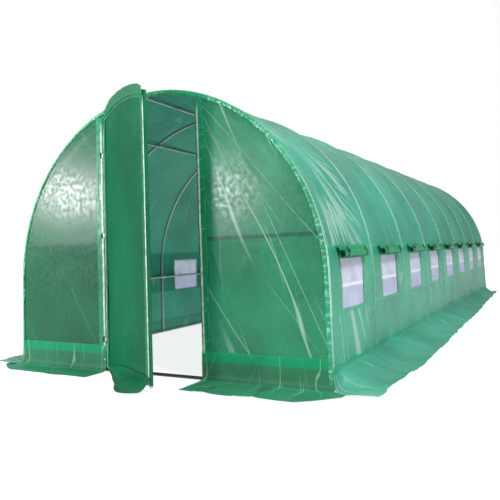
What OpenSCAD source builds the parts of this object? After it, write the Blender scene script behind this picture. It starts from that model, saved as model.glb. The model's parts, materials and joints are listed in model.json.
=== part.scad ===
// Walk-in polytunnel: steel tube hoops under a woven green cover, with a hinged
// arched door in the front end and a row of screened windows along each side.
// X runs across, Y along the tunnel with the door end at -Y, Z up from the ground.
// The origin is at ground level in the middle of the footprint.

/* [Tunnel] */
// Width over the cover
tunnel_w = 3000; // [2600:50:3600]
// Length over the cover
tunnel_l = 8000; // [4000:100:12000]
// Height of the straight part of each hoop
leg_h = 755; // [600:5:1000]
// Number of bays between hoops
bays = 8; // [4:1:10]

/* [Frame] */
// Outside diameter of every frame tube
tube_d = 25; // [20:1:32]
// Lean of the roof purlins from the ridge, in degrees
purlin_lean = 27.5; // [22:0.5:40]
// Height of the side purlins
side_purlin_z = 670; // [560:10:760]
// Height of the cross bars in the two ends
bar_z = 1045; // [900:5:1090]
// Distance of each door post from the middle
post_x = 490; // [410:10:560]

/* [Cover] */
// Thickness of the cover sheet
cover_t = 2; // [1:0.5:4]
// Height of the seam where the side wall meets its ground skirt
seam_z = 125; // [100:5:200]
// Reach of the side skirts over the ground
side_skirt = 320; // [200:10:390]
// Reach of the end skirts over the ground
end_skirt = 270; // [150:10:330]
// Depth of the binding on the rim of each end
welt_w = 48; // [30:1:50]
// Length of the binding along the roof
welt_l = 20; // [10:1:60]
// Thickness of the binding
welt_t = 1.5; // [1:0.5:3]

/* [Windows] */
// Width of each window
window_w = 470; // [300:10:520]
// Height of the window sill
window_low = 505; // [450:5:560]
// Height of the window head
window_high = 862; // [720:1:880]
// Height of the seam above the windows
band_top = 960; // [935:5:1100]
// Diameter of a rolled-up window flap
roll_d = 62; // [45:1:66]
// Length of a rolled-up window flap
roll_l = 570; // [540:10:600]
// Height of the rolled-up flaps
roll_z = 897; // [890:1:920]

/* [Door] */
// Angle that the door stands open, in degrees
door_open = 28; // [0:1:90]
// Gap round the closed door
door_gap = 7; // [6:1:12]
// Distance from the hinge axis to the hinge stile
hinge_reach = 50; // [46:1:60]
// Height of the door's bottom rail
rail_z = 58; // [50:1:80]
// Height of each hinge strap
strap_h = 32; // [20:2:50]
// Reach of the door's ground flap
flap_reach = 165; // [100:5:200]

/* [Hidden] */
$fn = 96;
fit = 0.3;
tube_r = tube_d / 2;
arch_r = tunnel_w / 2;
skin_r = arch_r - cover_t;
hoop_r = skin_r - fit - tube_r;
hoop_in = hoop_r - tube_r;
purlin_r = hoop_r - tube_d - fit;
front_y = -tunnel_l / 2;
rear_y = tunnel_l / 2;
end_inset = cover_t + fit + tube_r;
first_y = front_y + end_inset;
last_y = rear_y - end_inset;
pitch = (last_y - first_y) / bays;
reach = 2 * tunnel_w;

// the skirt bends away from the wall at its knee and lies flat past its toe
knee_x = 34;
knee_z = 46;
toe_x = 120;

// screens overlap the wall round each window
screen_t = 1;
screen_lap = 12;

// clamps hook under a purlin and close round it on both sides of a hoop
clamp_t = 2.5;
clamp_l = 64;
clamp_ring = 14;
clamp_fit = 0.1;

// the door hangs on the left post, and its own frame is drawn with the post at x = 0;
// its bow passes under the ridge purlin
stile_far = 2 * post_x - tube_d - 3 * fit - door_gap - 2 * cover_t;
bow_r = purlin_r - tube_r - door_gap - cover_t - fit - tube_r;
sheet_out = tube_r + fit + cover_t;
strap_t = 2.5;
strap_play = 0.4;
strap_web = 5;
strap_zs = [260, 1120, 1800];
notch_gap = 6;
stile_foot = 31;
flap_low = 12;
flap_start = 60;
flap_full = 330;

hoop_nodes = [for (i = [1:bays + 1]) str("hoop_", i)];

function hoop_y(i) = first_y + (i - 1) * pitch;
function bay_y(i) = first_y + (i - 0.5) * pitch;
function arch_angle(z, r) = asin((z - leg_h) / r);

// ---------- shared shapes ----------

module along_y(y0, y1) {
    translate([0, y1, 0]) rotate([90, 0, 0]) linear_extrude(y1 - y0) children();
}

module tube_x(x0, x1, y, z) {
    translate([x0, y, z]) rotate([0, 90, 0]) cylinder(d = tube_d, h = x1 - x0);
}

module tube_y(y0, y1, x, z) {
    translate([x, y0, z]) rotate([-90, 0, 0]) cylinder(d = tube_d, h = y1 - y0);
}

// the tunnel's outline in the XZ plane, drawn at radius r
module arch_area(r) {
    intersection() {
        translate([0, leg_h]) circle(r, $fn = 360);
        translate([-reach / 2, leg_h - 1]) square([reach, reach]);
    }
    translate([-r, 0]) square([2 * r, leg_h]);
}

module arch_band(r_out, r_in) {
    difference() {
        arch_area(r_out);
        arch_area(r_in);
    }
}

// part of the band between two heights, on one side
module band_between(side, z0, z1, r_out, r_in) {
    intersection() {
        arch_band(r_out, r_in);
        translate([side > 0 ? 0 : -reach, z0]) square([reach, z1 - z0]);
    }
}

module sector(a0, a1) {
    a_mid = (a0 + a1) / 2;
    translate([0, leg_h])
        polygon([
            [0, 0],
            [reach * cos(a0), reach * sin(a0)],
            [reach * cos(a_mid), reach * sin(a_mid)],
            [reach * cos(a1), reach * sin(a1)],
        ]);
}

module inside_hoop(y) {
    intersection() {
        children();
        along_y(y - tube_d, y + tube_d) arch_area(hoop_in - fit);
    }
}

// ---------- frame ----------

module hoop(i) {
    color("lightsteelblue")
        translate([0, hoop_y(i), 0]) {
            translate([0, 0, leg_h])
                rotate([90, 0, 0])
                    rotate_extrude(angle = 180) translate([hoop_r, 0]) circle(d = tube_d);
            for (side = [-1, 1])
                translate([side * hoop_r, 0, 0]) cylinder(d = tube_d, h = leg_h);
        }
}

module roof_purlin(lean) {
    color("lightsteelblue")
        tube_y(
            first_y - tube_r, last_y + tube_r,
            purlin_r * sin(lean), leg_h + purlin_r * cos(lean)
        );
}

module side_purlin(side) {
    color("lightsteelblue")
        tube_y(first_y - tube_r, last_y + tube_r, side * purlin_r, side_purlin_z);
}

module ground_rail(side) {
    color("lightsteelblue")
        tube_y(
            first_y + tube_r + fit, last_y - tube_r - fit,
            side * purlin_r, tube_r
        );
}

// one clamp, drawn with the purlin along Y at the origin and the hoop above it
module clamp() {
    ring_r = tube_r + clamp_fit + clamp_t;
    difference() {
        union() {
            for (end = [0, 1])
                translate([0, -clamp_l / 2 + end * (clamp_l - clamp_ring), 0])
                    rotate([-90, 0, 0]) cylinder(r = ring_r, h = clamp_ring);
            intersection() {
                translate([0, -clamp_l / 2, 0])
                    rotate([-90, 0, 0]) cylinder(r = ring_r, h = clamp_l);
                translate([-ring_r, -clamp_l / 2, -ring_r])
                    cube([2 * ring_r, clamp_l, ring_r]);
            }
        }
        translate([0, -clamp_l, 0])
            rotate([-90, 0, 0]) cylinder(r = tube_r + clamp_fit, h = 2 * clamp_l);
    }
}

// the end hoops take their purlins in end plugs, so clamps sit on the hoops between
module purlin_clamps() {
    color("silver")
        for (i = [2:bays]) {
            for (lean = [-purlin_lean, 0, purlin_lean])
                translate([0, hoop_y(i), leg_h])
                    rotate([0, lean, 0]) translate([0, 0, purlin_r]) clamp();
            for (side = [-1, 1])
                translate([side * purlin_r, hoop_y(i), side_purlin_z])
                    rotate([0, side * 90, 0]) clamp();
        }
}

module post(side, y) {
    inside_hoop(y)
        translate([side * post_x, y, tube_d + fit]) cylinder(d = tube_d, h = leg_h + arch_r);
}

module end_bar(side, y) {
    near = post_x + tube_r + fit;
    inside_hoop(y)
        if (side > 0) tube_x(near, arch_r, y, bar_z);
        else tube_x(-arch_r, -near, y, bar_z);
}

module door_post(side) {
    color("lightsteelblue") post(side, first_y);
}

module front_bar(side) {
    color("lightsteelblue") end_bar(side, first_y);
}

module sill(y) {
    color("darkslategray") tube_x(-hoop_in + fit, hoop_in - fit, y, tube_r);
}

module rear_posts() {
    color("lightsteelblue")
        for (side = [-1, 1]) post(side, last_y);
}

module rear_bars() {
    between = post_x - tube_r - fit;
    color("lightsteelblue") {
        for (side = [-1, 1]) end_bar(side, last_y);
        tube_x(-between, between, last_y, bar_z);
    }
}

// ---------- cover ----------

module roof_strip(quarter) {
    low = arch_angle(band_top, arch_r);
    step = (180 - 2 * low) / 4;
    color("mediumseagreen")
        along_y(front_y, rear_y)
            intersection() {
                arch_band(arch_r, skin_r);
                sector(low + quarter * step, low + (quarter + 1) * step);
                translate([-reach / 2, band_top]) square([reach, reach]);
            }
}

module side_wall(side) {
    color("mediumseagreen")
        difference() {
            along_y(front_y, rear_y)
                band_between(side, seam_z, band_top, arch_r, skin_r);
            for (i = [1:bays])
                translate([
                    side > 0 ? 0 : -reach,
                    bay_y(i) - window_w / 2,
                    window_low,
                ])
                    cube([reach, window_w, window_high - window_low]);
        }
}

// wall foot, knee, then flat on the ground
module side_skirt(side) {
    color("mediumseagreen")
        along_y(front_y, rear_y)
            mirror([side > 0 ? 0 : 1, 0])
                polygon([
                    [skin_r, seam_z],
                    [arch_r, seam_z],
                    [arch_r + knee_x, knee_z],
                    [arch_r + toe_x, cover_t],
                    [arch_r + side_skirt, cover_t],
                    [arch_r + side_skirt, 0],
                    [arch_r + toe_x - cover_t, 0],
                    [arch_r + knee_x - cover_t, knee_z - cover_t],
                ]);
}

// the door's straps pass through slots in the left panel's hem
module front_cover(side) {
    inner = post_x - tube_r;
    slot = tube_r + strap_play + strap_t + notch_gap;
    color("seagreen")
        difference() {
            along_y(front_y, front_y + cover_t)
                intersection() {
                    arch_area(skin_r);
                    translate([side > 0 ? inner : -inner - reach, 0]) square([reach, reach]);
                }
            if (side < 0)
                for (z = strap_zs)
                    translate([-post_x - slot, front_y - cover_t, z - strap_h / 2 - notch_gap])
                        cube([2 * slot, 3 * cover_t, strap_h + 2 * notch_gap]);
        }
}

module front_skirts() {
    inner = post_x - tube_r;
    color("seagreen")
        for (x = [-arch_r, inner])
            translate([x, front_y - end_skirt, 0]) cube([arch_r - inner, end_skirt, cover_t]);
}

module rear_cover() {
    color("seagreen") along_y(rear_y - cover_t, rear_y) arch_area(skin_r);
}

module rear_skirt() {
    color("seagreen")
        translate([-arch_r, rear_y, 0]) cube([2 * arch_r, end_skirt, cover_t]);
}

// binding over the rim: a band on the roof and a ring on the end panel
module welt(end) {
    face_y = end < 0 ? front_y : rear_y;
    out_y = face_y + end * welt_t;
    in_y = face_y - end * welt_l;
    color("green")
        difference() {
            along_y(min(out_y, in_y), max(out_y, in_y))
                intersection() {
                    arch_band(arch_r + welt_t, arch_r - welt_w);
                    translate([-reach / 2, seam_z]) square([reach, reach]);
                }
            along_y(min(face_y, in_y) - (end < 0 ? 0 : 1), max(face_y, in_y) + (end < 0 ? 1 : 0))
                arch_area(arch_r);
        }
}

module window_screens(side) {
    color("lavender")
        for (i = [1:bays])
            along_y(
                bay_y(i) - window_w / 2 - screen_lap,
                bay_y(i) + window_w / 2 + screen_lap
            )
                band_between(
                    side, window_low - screen_lap, window_high + screen_lap,
                    skin_r, skin_r - screen_t
                );
}

module window_rolls(side) {
    r = arch_r + roll_d / 2 + fit;
    a = arch_angle(roll_z, r);
    color("green")
        for (i = [1:bays])
            translate([side * r * cos(a), bay_y(i) - roll_l / 2, leg_h + r * sin(a)])
                rotate([-90, 0, 0]) cylinder(d = roll_d, h = roll_l);
}

// ---------- door, drawn closed with the hinge axis at the origin ----------

module hang_door() {
    translate([-post_x, first_y, 0]) rotate([0, 0, -door_open]) children();
}

module leaf_outline(grow) {
    intersection() {
        translate([post_x, leg_h]) circle(bow_r + tube_r + grow);
        translate([hinge_reach - tube_r - grow, rail_z - tube_r - grow])
            square([stile_far - hinge_reach + tube_d + 2 * grow, reach]);
    }
}

// the bow rests on the two stiles, and the rails are held between them
module door_frame() {
    lean_near = asin((post_x - hinge_reach + tube_r) / (bow_r + tube_r));
    lean_far = asin((stile_far - post_x + tube_r) / (bow_r + tube_r));
    rail_from = hinge_reach + tube_r + fit;
    rail_to = stile_far - tube_r - fit;
    color("lightsteelblue")
        hang_door() {
            translate([post_x, 0, leg_h])
                rotate([90, 0, 0])
                    rotate(90 - lean_far)
                        rotate_extrude(angle = lean_near + lean_far, $fn = 240)
                            translate([bow_r, 0]) circle(d = tube_d, $fn = 48);
            for (x = [hinge_reach, stile_far])
                intersection() {
                    translate([x, 0, stile_foot]) cylinder(d = tube_d, h = leg_h + bow_r);
                    along_y(-tube_d, tube_d)
                        translate([post_x, 0]) arch_area(bow_r - tube_r - fit);
                }
            for (z = [rail_z, bar_z]) tube_x(rail_from, rail_to, 0, z);
        }
}

// a sheet on the front of the leaf with returns round its four edges
module door_cover() {
    color("seagreen")
        hang_door()
            difference() {
                along_y(-sheet_out, tube_r) leaf_outline(fit + cover_t);
                along_y(-sheet_out + cover_t, tube_d) leaf_outline(fit);
                for (z = strap_zs)
                    translate([0, -sheet_out - 1, z - strap_h / 2 - notch_gap])
                        cube([
                            hinge_reach + tube_r + strap_t + notch_gap,
                            2 * sheet_out,
                            strap_h + 2 * notch_gap,
                        ]);
                for (x = [hinge_reach, stile_far])
                    translate([x, 0, 0]) cylinder(r = tube_r + fit, h = rail_z);
            }
}

// the sheet's tail, which widens away from the hinge and stays off the ground
module door_flap() {
    near_y = -sheet_out;
    far_y = -sheet_out - flap_reach;
    far_x = stile_far + tube_r;
    color("seagreen")
        hang_door()
            intersection() {
                translate([flap_start, 0, 0])
                    rotate([90, 0, 90])
                        linear_extrude(far_x - flap_start)
                            polygon([
                                [near_y, rail_z],
                                [near_y, rail_z + 4 * cover_t],
                                [near_y - cover_t, rail_z + 4 * cover_t],
                                [far_y, flap_low + cover_t],
                                [far_y, flap_low],
                            ]);
                linear_extrude(leg_h)
                    polygon([
                        [flap_start, 0],
                        [flap_start, near_y - cover_t],
                        [flap_full, far_y],
                        [far_x, far_y],
                        [far_x, 0],
                    ]);
            }
}

module door_hinges() {
    post_ring = tube_r + strap_play;
    stile_ring = tube_r + clamp_fit;
    color("silver")
        hang_door()
            for (z = strap_zs)
                translate([0, 0, z - strap_h / 2])
                    difference() {
                        union() {
                            cylinder(r = post_ring + strap_t, h = strap_h);
                            translate([hinge_reach, 0, 0])
                                cylinder(r = stile_ring + strap_t, h = strap_h);
                            translate([post_ring + 1, -strap_web / 2, 0])
                                cube([
                                    hinge_reach - post_ring - stile_ring - 2,
                                    strap_web, strap_h,
                                ]);
                        }
                        translate([0, 0, -1]) cylinder(r = post_ring, h = strap_h + 2);
                        translate([hinge_reach, 0, -1])
                            cylinder(r = stile_ring, h = strap_h + 2);
                    }
}

for (i = [1:bays + 1])
    hoop(i);
roof_purlin(0);  // ridge_purlin
roof_purlin(-purlin_lean);  // roof_purlin_left
roof_purlin(purlin_lean);  // roof_purlin_right
side_purlin(-1);  // side_purlin_left
side_purlin(1);  // side_purlin_right
ground_rail(-1);  // ground_rail_left
ground_rail(1);  // ground_rail_right
purlin_clamps();
door_post(-1);  // door_post_left
door_post(1);  // door_post_right
front_bar(-1);  // front_bar_left
front_bar(1);  // front_bar_right
sill(first_y);  // front_sill
rear_posts();
rear_bars();
sill(last_y);  // rear_sill
roof_strip(0);  // roof_cover_right_low
roof_strip(1);  // roof_cover_right_high
roof_strip(2);  // roof_cover_left_high
roof_strip(3);  // roof_cover_left_low
side_wall(-1);  // side_wall_left
side_wall(1);  // side_wall_right
side_skirt(-1);  // side_skirt_left
side_skirt(1);  // side_skirt_right
front_cover(-1);  // front_cover_left
front_cover(1);  // front_cover_right
front_skirts();
welt(-1);  // front_welt
rear_cover();
rear_skirt();
welt(1);  // rear_welt
window_screens(-1);  // window_screens_left
window_screens(1);  // window_screens_right
window_rolls(-1);  // window_rolls_left
window_rolls(1);  // window_rolls_right
door_frame();
door_cover();
door_flap();
door_hinges();
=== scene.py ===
"""Looks for a walk-in polytunnel: steel hoops under a woven, coated green cover.

The frame's tubes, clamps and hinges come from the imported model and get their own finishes.
Every sheet of the cover is made here as cloth: it is stretched over the hoops, gathered in
the end bindings, rolled up above the windows and spread over the ground as skirts.
X runs across, Y along the tunnel with the door end at -Y, and Z up. All sizes are metres.
"""

import json
import logging
import math
from dataclasses import dataclass, field, replace
from enum import Enum
from typing import Optional, Sequence

import bmesh
import bpy
import numpy as np
from mathutils import Matrix, Vector

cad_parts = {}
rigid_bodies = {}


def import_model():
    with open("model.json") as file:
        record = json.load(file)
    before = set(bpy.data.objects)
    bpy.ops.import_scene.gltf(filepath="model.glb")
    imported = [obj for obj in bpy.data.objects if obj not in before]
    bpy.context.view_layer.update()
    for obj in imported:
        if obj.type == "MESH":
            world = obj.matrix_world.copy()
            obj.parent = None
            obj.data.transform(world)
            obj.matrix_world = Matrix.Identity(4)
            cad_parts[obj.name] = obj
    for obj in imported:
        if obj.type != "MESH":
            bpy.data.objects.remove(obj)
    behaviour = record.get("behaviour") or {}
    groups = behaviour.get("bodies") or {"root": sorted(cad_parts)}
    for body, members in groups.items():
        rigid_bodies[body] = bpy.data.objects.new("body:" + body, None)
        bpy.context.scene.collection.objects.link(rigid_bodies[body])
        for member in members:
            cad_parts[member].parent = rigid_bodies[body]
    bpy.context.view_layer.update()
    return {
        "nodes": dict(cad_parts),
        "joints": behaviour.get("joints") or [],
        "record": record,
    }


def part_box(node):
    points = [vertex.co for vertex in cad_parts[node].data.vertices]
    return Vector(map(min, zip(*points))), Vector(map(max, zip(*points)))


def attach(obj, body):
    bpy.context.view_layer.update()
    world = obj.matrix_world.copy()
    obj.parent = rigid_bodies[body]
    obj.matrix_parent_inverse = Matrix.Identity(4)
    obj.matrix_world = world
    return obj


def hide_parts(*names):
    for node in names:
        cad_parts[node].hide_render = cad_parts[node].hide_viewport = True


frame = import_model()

Array = np.ndarray
Colour = tuple[float, float, float]
log = logging.getLogger("polytunnel")

WINDOW_LAP = 0.012
"""How far a screen overlaps the wall round its window, as the frame has it."""

STRAP_GAP = 0.024
"""Half the height of the gap in a hem where a hinge strap passes."""

GROUND_GAP = 0.0032
"""The lowest that the outer side of cloth lies over the ground."""


class Side(Enum):
    """A side of the tunnel, seen from outside the door end."""

    LEFT = -1
    RIGHT = 1

    @property
    def word(self) -> str:
        """The side's word in the names of pieces."""
        return self.name.lower()


class End(Enum):
    """An end of the tunnel."""

    FRONT = -1
    REAR = 1

    @property
    def word(self) -> str:
        """The end's word in the names of pieces."""
        return self.name.lower()


# ---------- numbers along and over a sheet ----------


def smooth(low: float, high: float, value: Array) -> Array:
    """A smooth step from 0 at low to 1 at high."""
    t = np.clip((value - low) / (high - low), 0.0, 1.0)
    return t * t * (3.0 - 2.0 * t)


def bell(value: Array, width: float) -> Array:
    """A rounded bump of height 1 at zero that has fallen to a third at width."""
    return np.exp(-((value / width) ** 2))


def noise(u: Array, v: Array, seed: int) -> Array:
    """Smooth random heights over a plane.

    Args:
        u: First coordinate, one random value per unit.
        v: Second coordinate, one random value per unit.
        seed: Which pattern.

    Returns:
        Values from -1 to 1, the same for the same seed.
    """
    table = np.random.default_rng(seed).uniform(-1.0, 1.0, (128, 128))
    u, v = np.broadcast_arrays(np.asarray(u, float), np.asarray(v, float))
    i, j = np.floor(u).astype(int), np.floor(v).astype(int)
    a, b = u - i, v - j
    a, b = a * a * (3.0 - 2.0 * a), b * b * (3.0 - 2.0 * b)

    def at(p: Array, q: Array) -> Array:
        """The table's value at a lattice point."""
        return table[p % 128, q % 128]

    low = at(i, j) * (1 - a) + at(i + 1, j) * a
    high = at(i, j + 1) * (1 - a) + at(i + 1, j + 1) * a
    return low * (1 - b) + high * b


def creases(u: Array, v: Array, angle: float, gap: float, run: float, seed: int) -> Array:
    """Narrow raised folds that run one way over a sheet.

    Args:
        u: First coordinate over the sheet.
        v: Second coordinate over the sheet.
        angle: The folds' direction from the first axis, in degrees.
        gap: Usual distance between folds.
        run: Usual length of a fold.
        seed: Which pattern.

    Returns:
        Heights from 0 between the folds to 1 on a fold's crest.
    """
    c, s = math.cos(math.radians(angle)), math.sin(math.radians(angle))
    along, across = u * c + v * s, v * c - u * s
    field_ = noise(across / gap + 0.6 * noise(along / run, across / gap, seed + 7), along / run, seed)
    strength = smooth(-0.2, 0.7, noise(across / (3 * gap), along / (0.8 * run), seed + 13))
    return (1.0 - np.minimum(np.abs(field_) * 2.6, 1.0)) ** 2 * strength


def lines(stops: Sequence[float], step: float) -> Array:
    """Grid lines that hit every stop and lie about a step apart.

    Args:
        stops: Places that a line has to pass through, in any order.
        step: The widest gap between lines.

    Returns:
        The sorted places of the lines.
    """
    marks = sorted(set(round(float(x), 6) for x in stops))
    out = [marks[0]]
    for a, b in zip(marks, marks[1:]):
        if b - a < 1e-4:
            continue
        n = max(1, math.ceil((b - a) / step - 1e-6))
        out.extend(a + (b - a) * (k + 1) / n for k in range(n))
    return np.array(out)


def stack(x: Array, y: Array, z: Array) -> Array:
    """Points from three coordinate arrays of any shapes that fit together."""
    return np.stack(np.broadcast_arrays(x, y, z), axis=-1).astype(float)


def length_along(a: Array, b: Array) -> Array:
    """Length of an outline from its first point up to each of its points.

    Args:
        a: First coordinate of the points, which follow each other down the first axis.
        b: Second coordinate.

    Returns:
        Lengths, of the shape of the points.
    """
    steps = np.hypot(np.diff(a, axis=0), np.diff(b, axis=0))
    return np.concatenate([0 * steps[:1], np.cumsum(steps, axis=0)])


# ---------- meshes ----------


def deselect() -> None:
    """Deselects every object."""
    for other in bpy.context.view_layer.objects:
        other.select_set(False)


def only(obj: bpy.types.Object) -> None:
    """Selects one object alone and makes it active.

    Args:
        obj: The object.
    """
    deselect()
    obj.select_set(True)
    bpy.context.view_layer.objects.active = obj


def apply_all(obj: bpy.types.Object) -> None:
    """Applies every modifier of an object, in order.

    Args:
        obj: The object.
    """
    only(obj)
    for modifier in list(obj.modifiers):
        bpy.ops.object.modifier_apply(modifier=modifier.name)


@dataclass
class Patch:
    """A rectangular grid of points that becomes part of a sheet.

    Args:
        points: Rows by columns by 3, in the row frame.
        cloth: Rows by columns by 2, the same points on the flat cloth, in metres.
        outward: The way the cloth's outer side faces at its middle.
        holes: Rows-1 by columns-1, true where the cloth is cut away.
    """

    points: Array
    cloth: Array
    outward: tuple[float, float, float]
    holes: Optional[Array] = None

    def faces(self, start: int) -> Array:
        """The corners of the patch's squares, facing outward.

        Args:
            start: Number of the patch's first vertex.

        Returns:
            One row of four vertex numbers for each square that is kept.
        """
        rows, cols = self.points.shape[:2]
        at = np.arange(rows * cols).reshape(rows, cols)
        quads = np.stack([at[:-1, :-1], at[:-1, 1:], at[1:, 1:], at[1:, :-1]], -1)
        p = self.points
        r, c = (rows - 1) // 2, (cols - 1) // 2
        normal = np.cross(p[r, c + 1] - p[r, c], p[r + 1, c] - p[r, c])
        if float(normal @ np.array(self.outward)) < 0:
            quads = quads[..., ::-1]
        kept = np.ones((rows - 1, cols - 1), bool) if self.holes is None else ~self.holes
        return quads[kept] + start


def sew(name: str, patches: Sequence[Patch], wall: float, turn: float = 50.0) -> bpy.types.Object:
    """Makes one piece of cloth, closed to its own thickness, from patches.

    Args:
        name: The piece's name.
        patches: Grids of points; they aren't joined to each other.
        wall: Thickness, which is added behind the outer side.
        turn: Edges sharper than this many degrees stay sharp.

    Returns:
        The finished object, at the origin.
    """
    points = np.concatenate([p.points.reshape(-1, 3) for p in patches])
    cloth = np.concatenate([p.cloth.reshape(-1, 2) for p in patches])
    starts = np.cumsum([0] + [p.points.shape[0] * p.points.shape[1] for p in patches])
    quads = np.concatenate([p.faces(int(s)) for p, s in zip(patches, starts)])
    used, quads = np.unique(quads, return_inverse=True)
    quads = quads.reshape(-1, 4)
    mesh = bpy.data.meshes.new(name)
    mesh.from_pydata(points[used].tolist(), [], quads.tolist())
    layer = mesh.uv_layers.new(name="Cloth")
    layer.data.foreach_set("uv", cloth[used][quads.ravel()].astype(np.float32).ravel())
    obj = bpy.data.objects.new(name, mesh)
    bpy.context.scene.collection.objects.link(obj)
    shell = bmesh.new()
    shell.from_mesh(mesh)
    bmesh.ops.remove_doubles(shell, verts=shell.verts, dist=1e-5)
    bmesh.ops.dissolve_degenerate(shell, edges=shell.edges, dist=1e-6)
    shell.to_mesh(mesh)
    shell.free()
    solid = obj.modifiers.new("Thickness", "SOLIDIFY")
    solid.thickness = wall
    solid.offset = -1.0
    solid.use_rim = True
    apply_all(obj)
    bpy.ops.object.shade_smooth_by_angle(angle=math.radians(turn))
    return obj


def moved(points: Array, turn: float, to: Sequence[float]) -> Array:
    """Points turned about Z and then moved.

    Args:
        points: Any shape by 3.
        turn: Angle in radians, the right-hand way about +Z.
        to: Where the origin goes.

    Returns:
        The points in their new place.
    """
    c, s = math.cos(turn), math.sin(turn)
    x, y = points[..., 0], points[..., 1]
    return stack(x * c - y * s + to[0], x * s + y * c + to[1], points[..., 2] + to[2])


# ---------- what the frame says ----------


@dataclass(frozen=True)
class Survey:
    """Sizes and places of the frame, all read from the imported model."""

    radius: float
    leg: float
    front: float
    rear: float
    hoops: tuple[float, ...]
    tube: float
    seam: float
    band_top: float
    window_low: float
    window_high: float
    window_half: float
    roll_x: float
    roll_z: float
    roll_r: float
    roll_half: float
    post_x: float
    bar_z: float
    skirt_x: float
    end_reach: float
    hinge: tuple[float, float]
    open_angle: float
    side_bar_z: float

    @classmethod
    def read(cls) -> "Survey":
        """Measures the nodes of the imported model.

        Returns:
            The sizes and places.
        """
        wall_low, wall_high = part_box("side_wall_right")
        roof_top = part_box("roof_cover_right_high")[1].z
        hoops = []
        for number in range(1, 40):
            if f"hoop_{number}" not in frame["nodes"]:
                break
            low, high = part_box(f"hoop_{number}")
            hoops.append((low.y + high.y) / 2)
        low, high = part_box("hoop_1")
        screen_low, screen_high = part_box("window_screens_right")
        roll_low, roll_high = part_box("window_rolls_right")
        first_bay = (hoops[0] + hoops[1]) / 2
        post_low, post_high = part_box("door_post_right")
        bar_low, bar_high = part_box("front_bar_right")
        purlin_low, purlin_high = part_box("side_purlin_right")
        joint = frame["joints"][0]
        radius = wall_high.x
        return cls(
            radius=radius,
            leg=roof_top - radius,
            front=wall_low.y,
            rear=wall_high.y,
            hoops=tuple(hoops),
            tube=(high.y - low.y) / 2,
            seam=wall_low.z,
            band_top=wall_high.z,
            window_low=screen_low.z + WINDOW_LAP,
            window_high=screen_high.z - WINDOW_LAP,
            window_half=first_bay - screen_low.y - WINDOW_LAP,
            roll_x=(roll_low.x + roll_high.x) / 2,
            roll_z=(roll_low.z + roll_high.z) / 2,
            roll_r=(roll_high.z - roll_low.z) / 2,
            roll_half=first_bay - roll_low.y,
            post_x=(post_low.x + post_high.x) / 2,
            bar_z=(bar_low.z + bar_high.z) / 2,
            skirt_x=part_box("side_skirt_right")[1].x,
            end_reach=-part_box("front_skirts")[0].y + wall_low.y,
            hinge=(joint["pos_m"][0], joint["pos_m"][1]),
            open_angle=math.radians(-joint["range_deg"][0]),
            side_bar_z=(purlin_low.z + purlin_high.z) / 2,
        )

    @property
    def quarter(self) -> float:
        """Length of the cover from its crown down to the top of a leg."""
        return math.pi * self.radius / 2

    @property
    def bays(self) -> list[float]:
        """Where the middle of each bay is along the tunnel."""
        return [(a + b) / 2 for a, b in zip(self.hoops, self.hoops[1:])]

    def down_to(self, z: float) -> float:
        """Length of the cover from its crown down to a height.

        Args:
            z: The height.

        Returns:
            The length.
        """
        if z >= self.leg:
            return self.radius * math.acos(min((z - self.leg) / self.radius, 1.0))
        return self.quarter + self.leg - z

    def plane(self, end: End) -> float:
        """Where the outer edge of an end lies along the tunnel."""
        return self.front if end is End.FRONT else self.rear

    def half_width(self, z: Array, radius: float) -> Array:
        """Half the width of the arch of a given radius at a height."""
        up = np.clip(z - self.leg, 0.0, radius)
        return np.sqrt(radius**2 - up**2)


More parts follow.
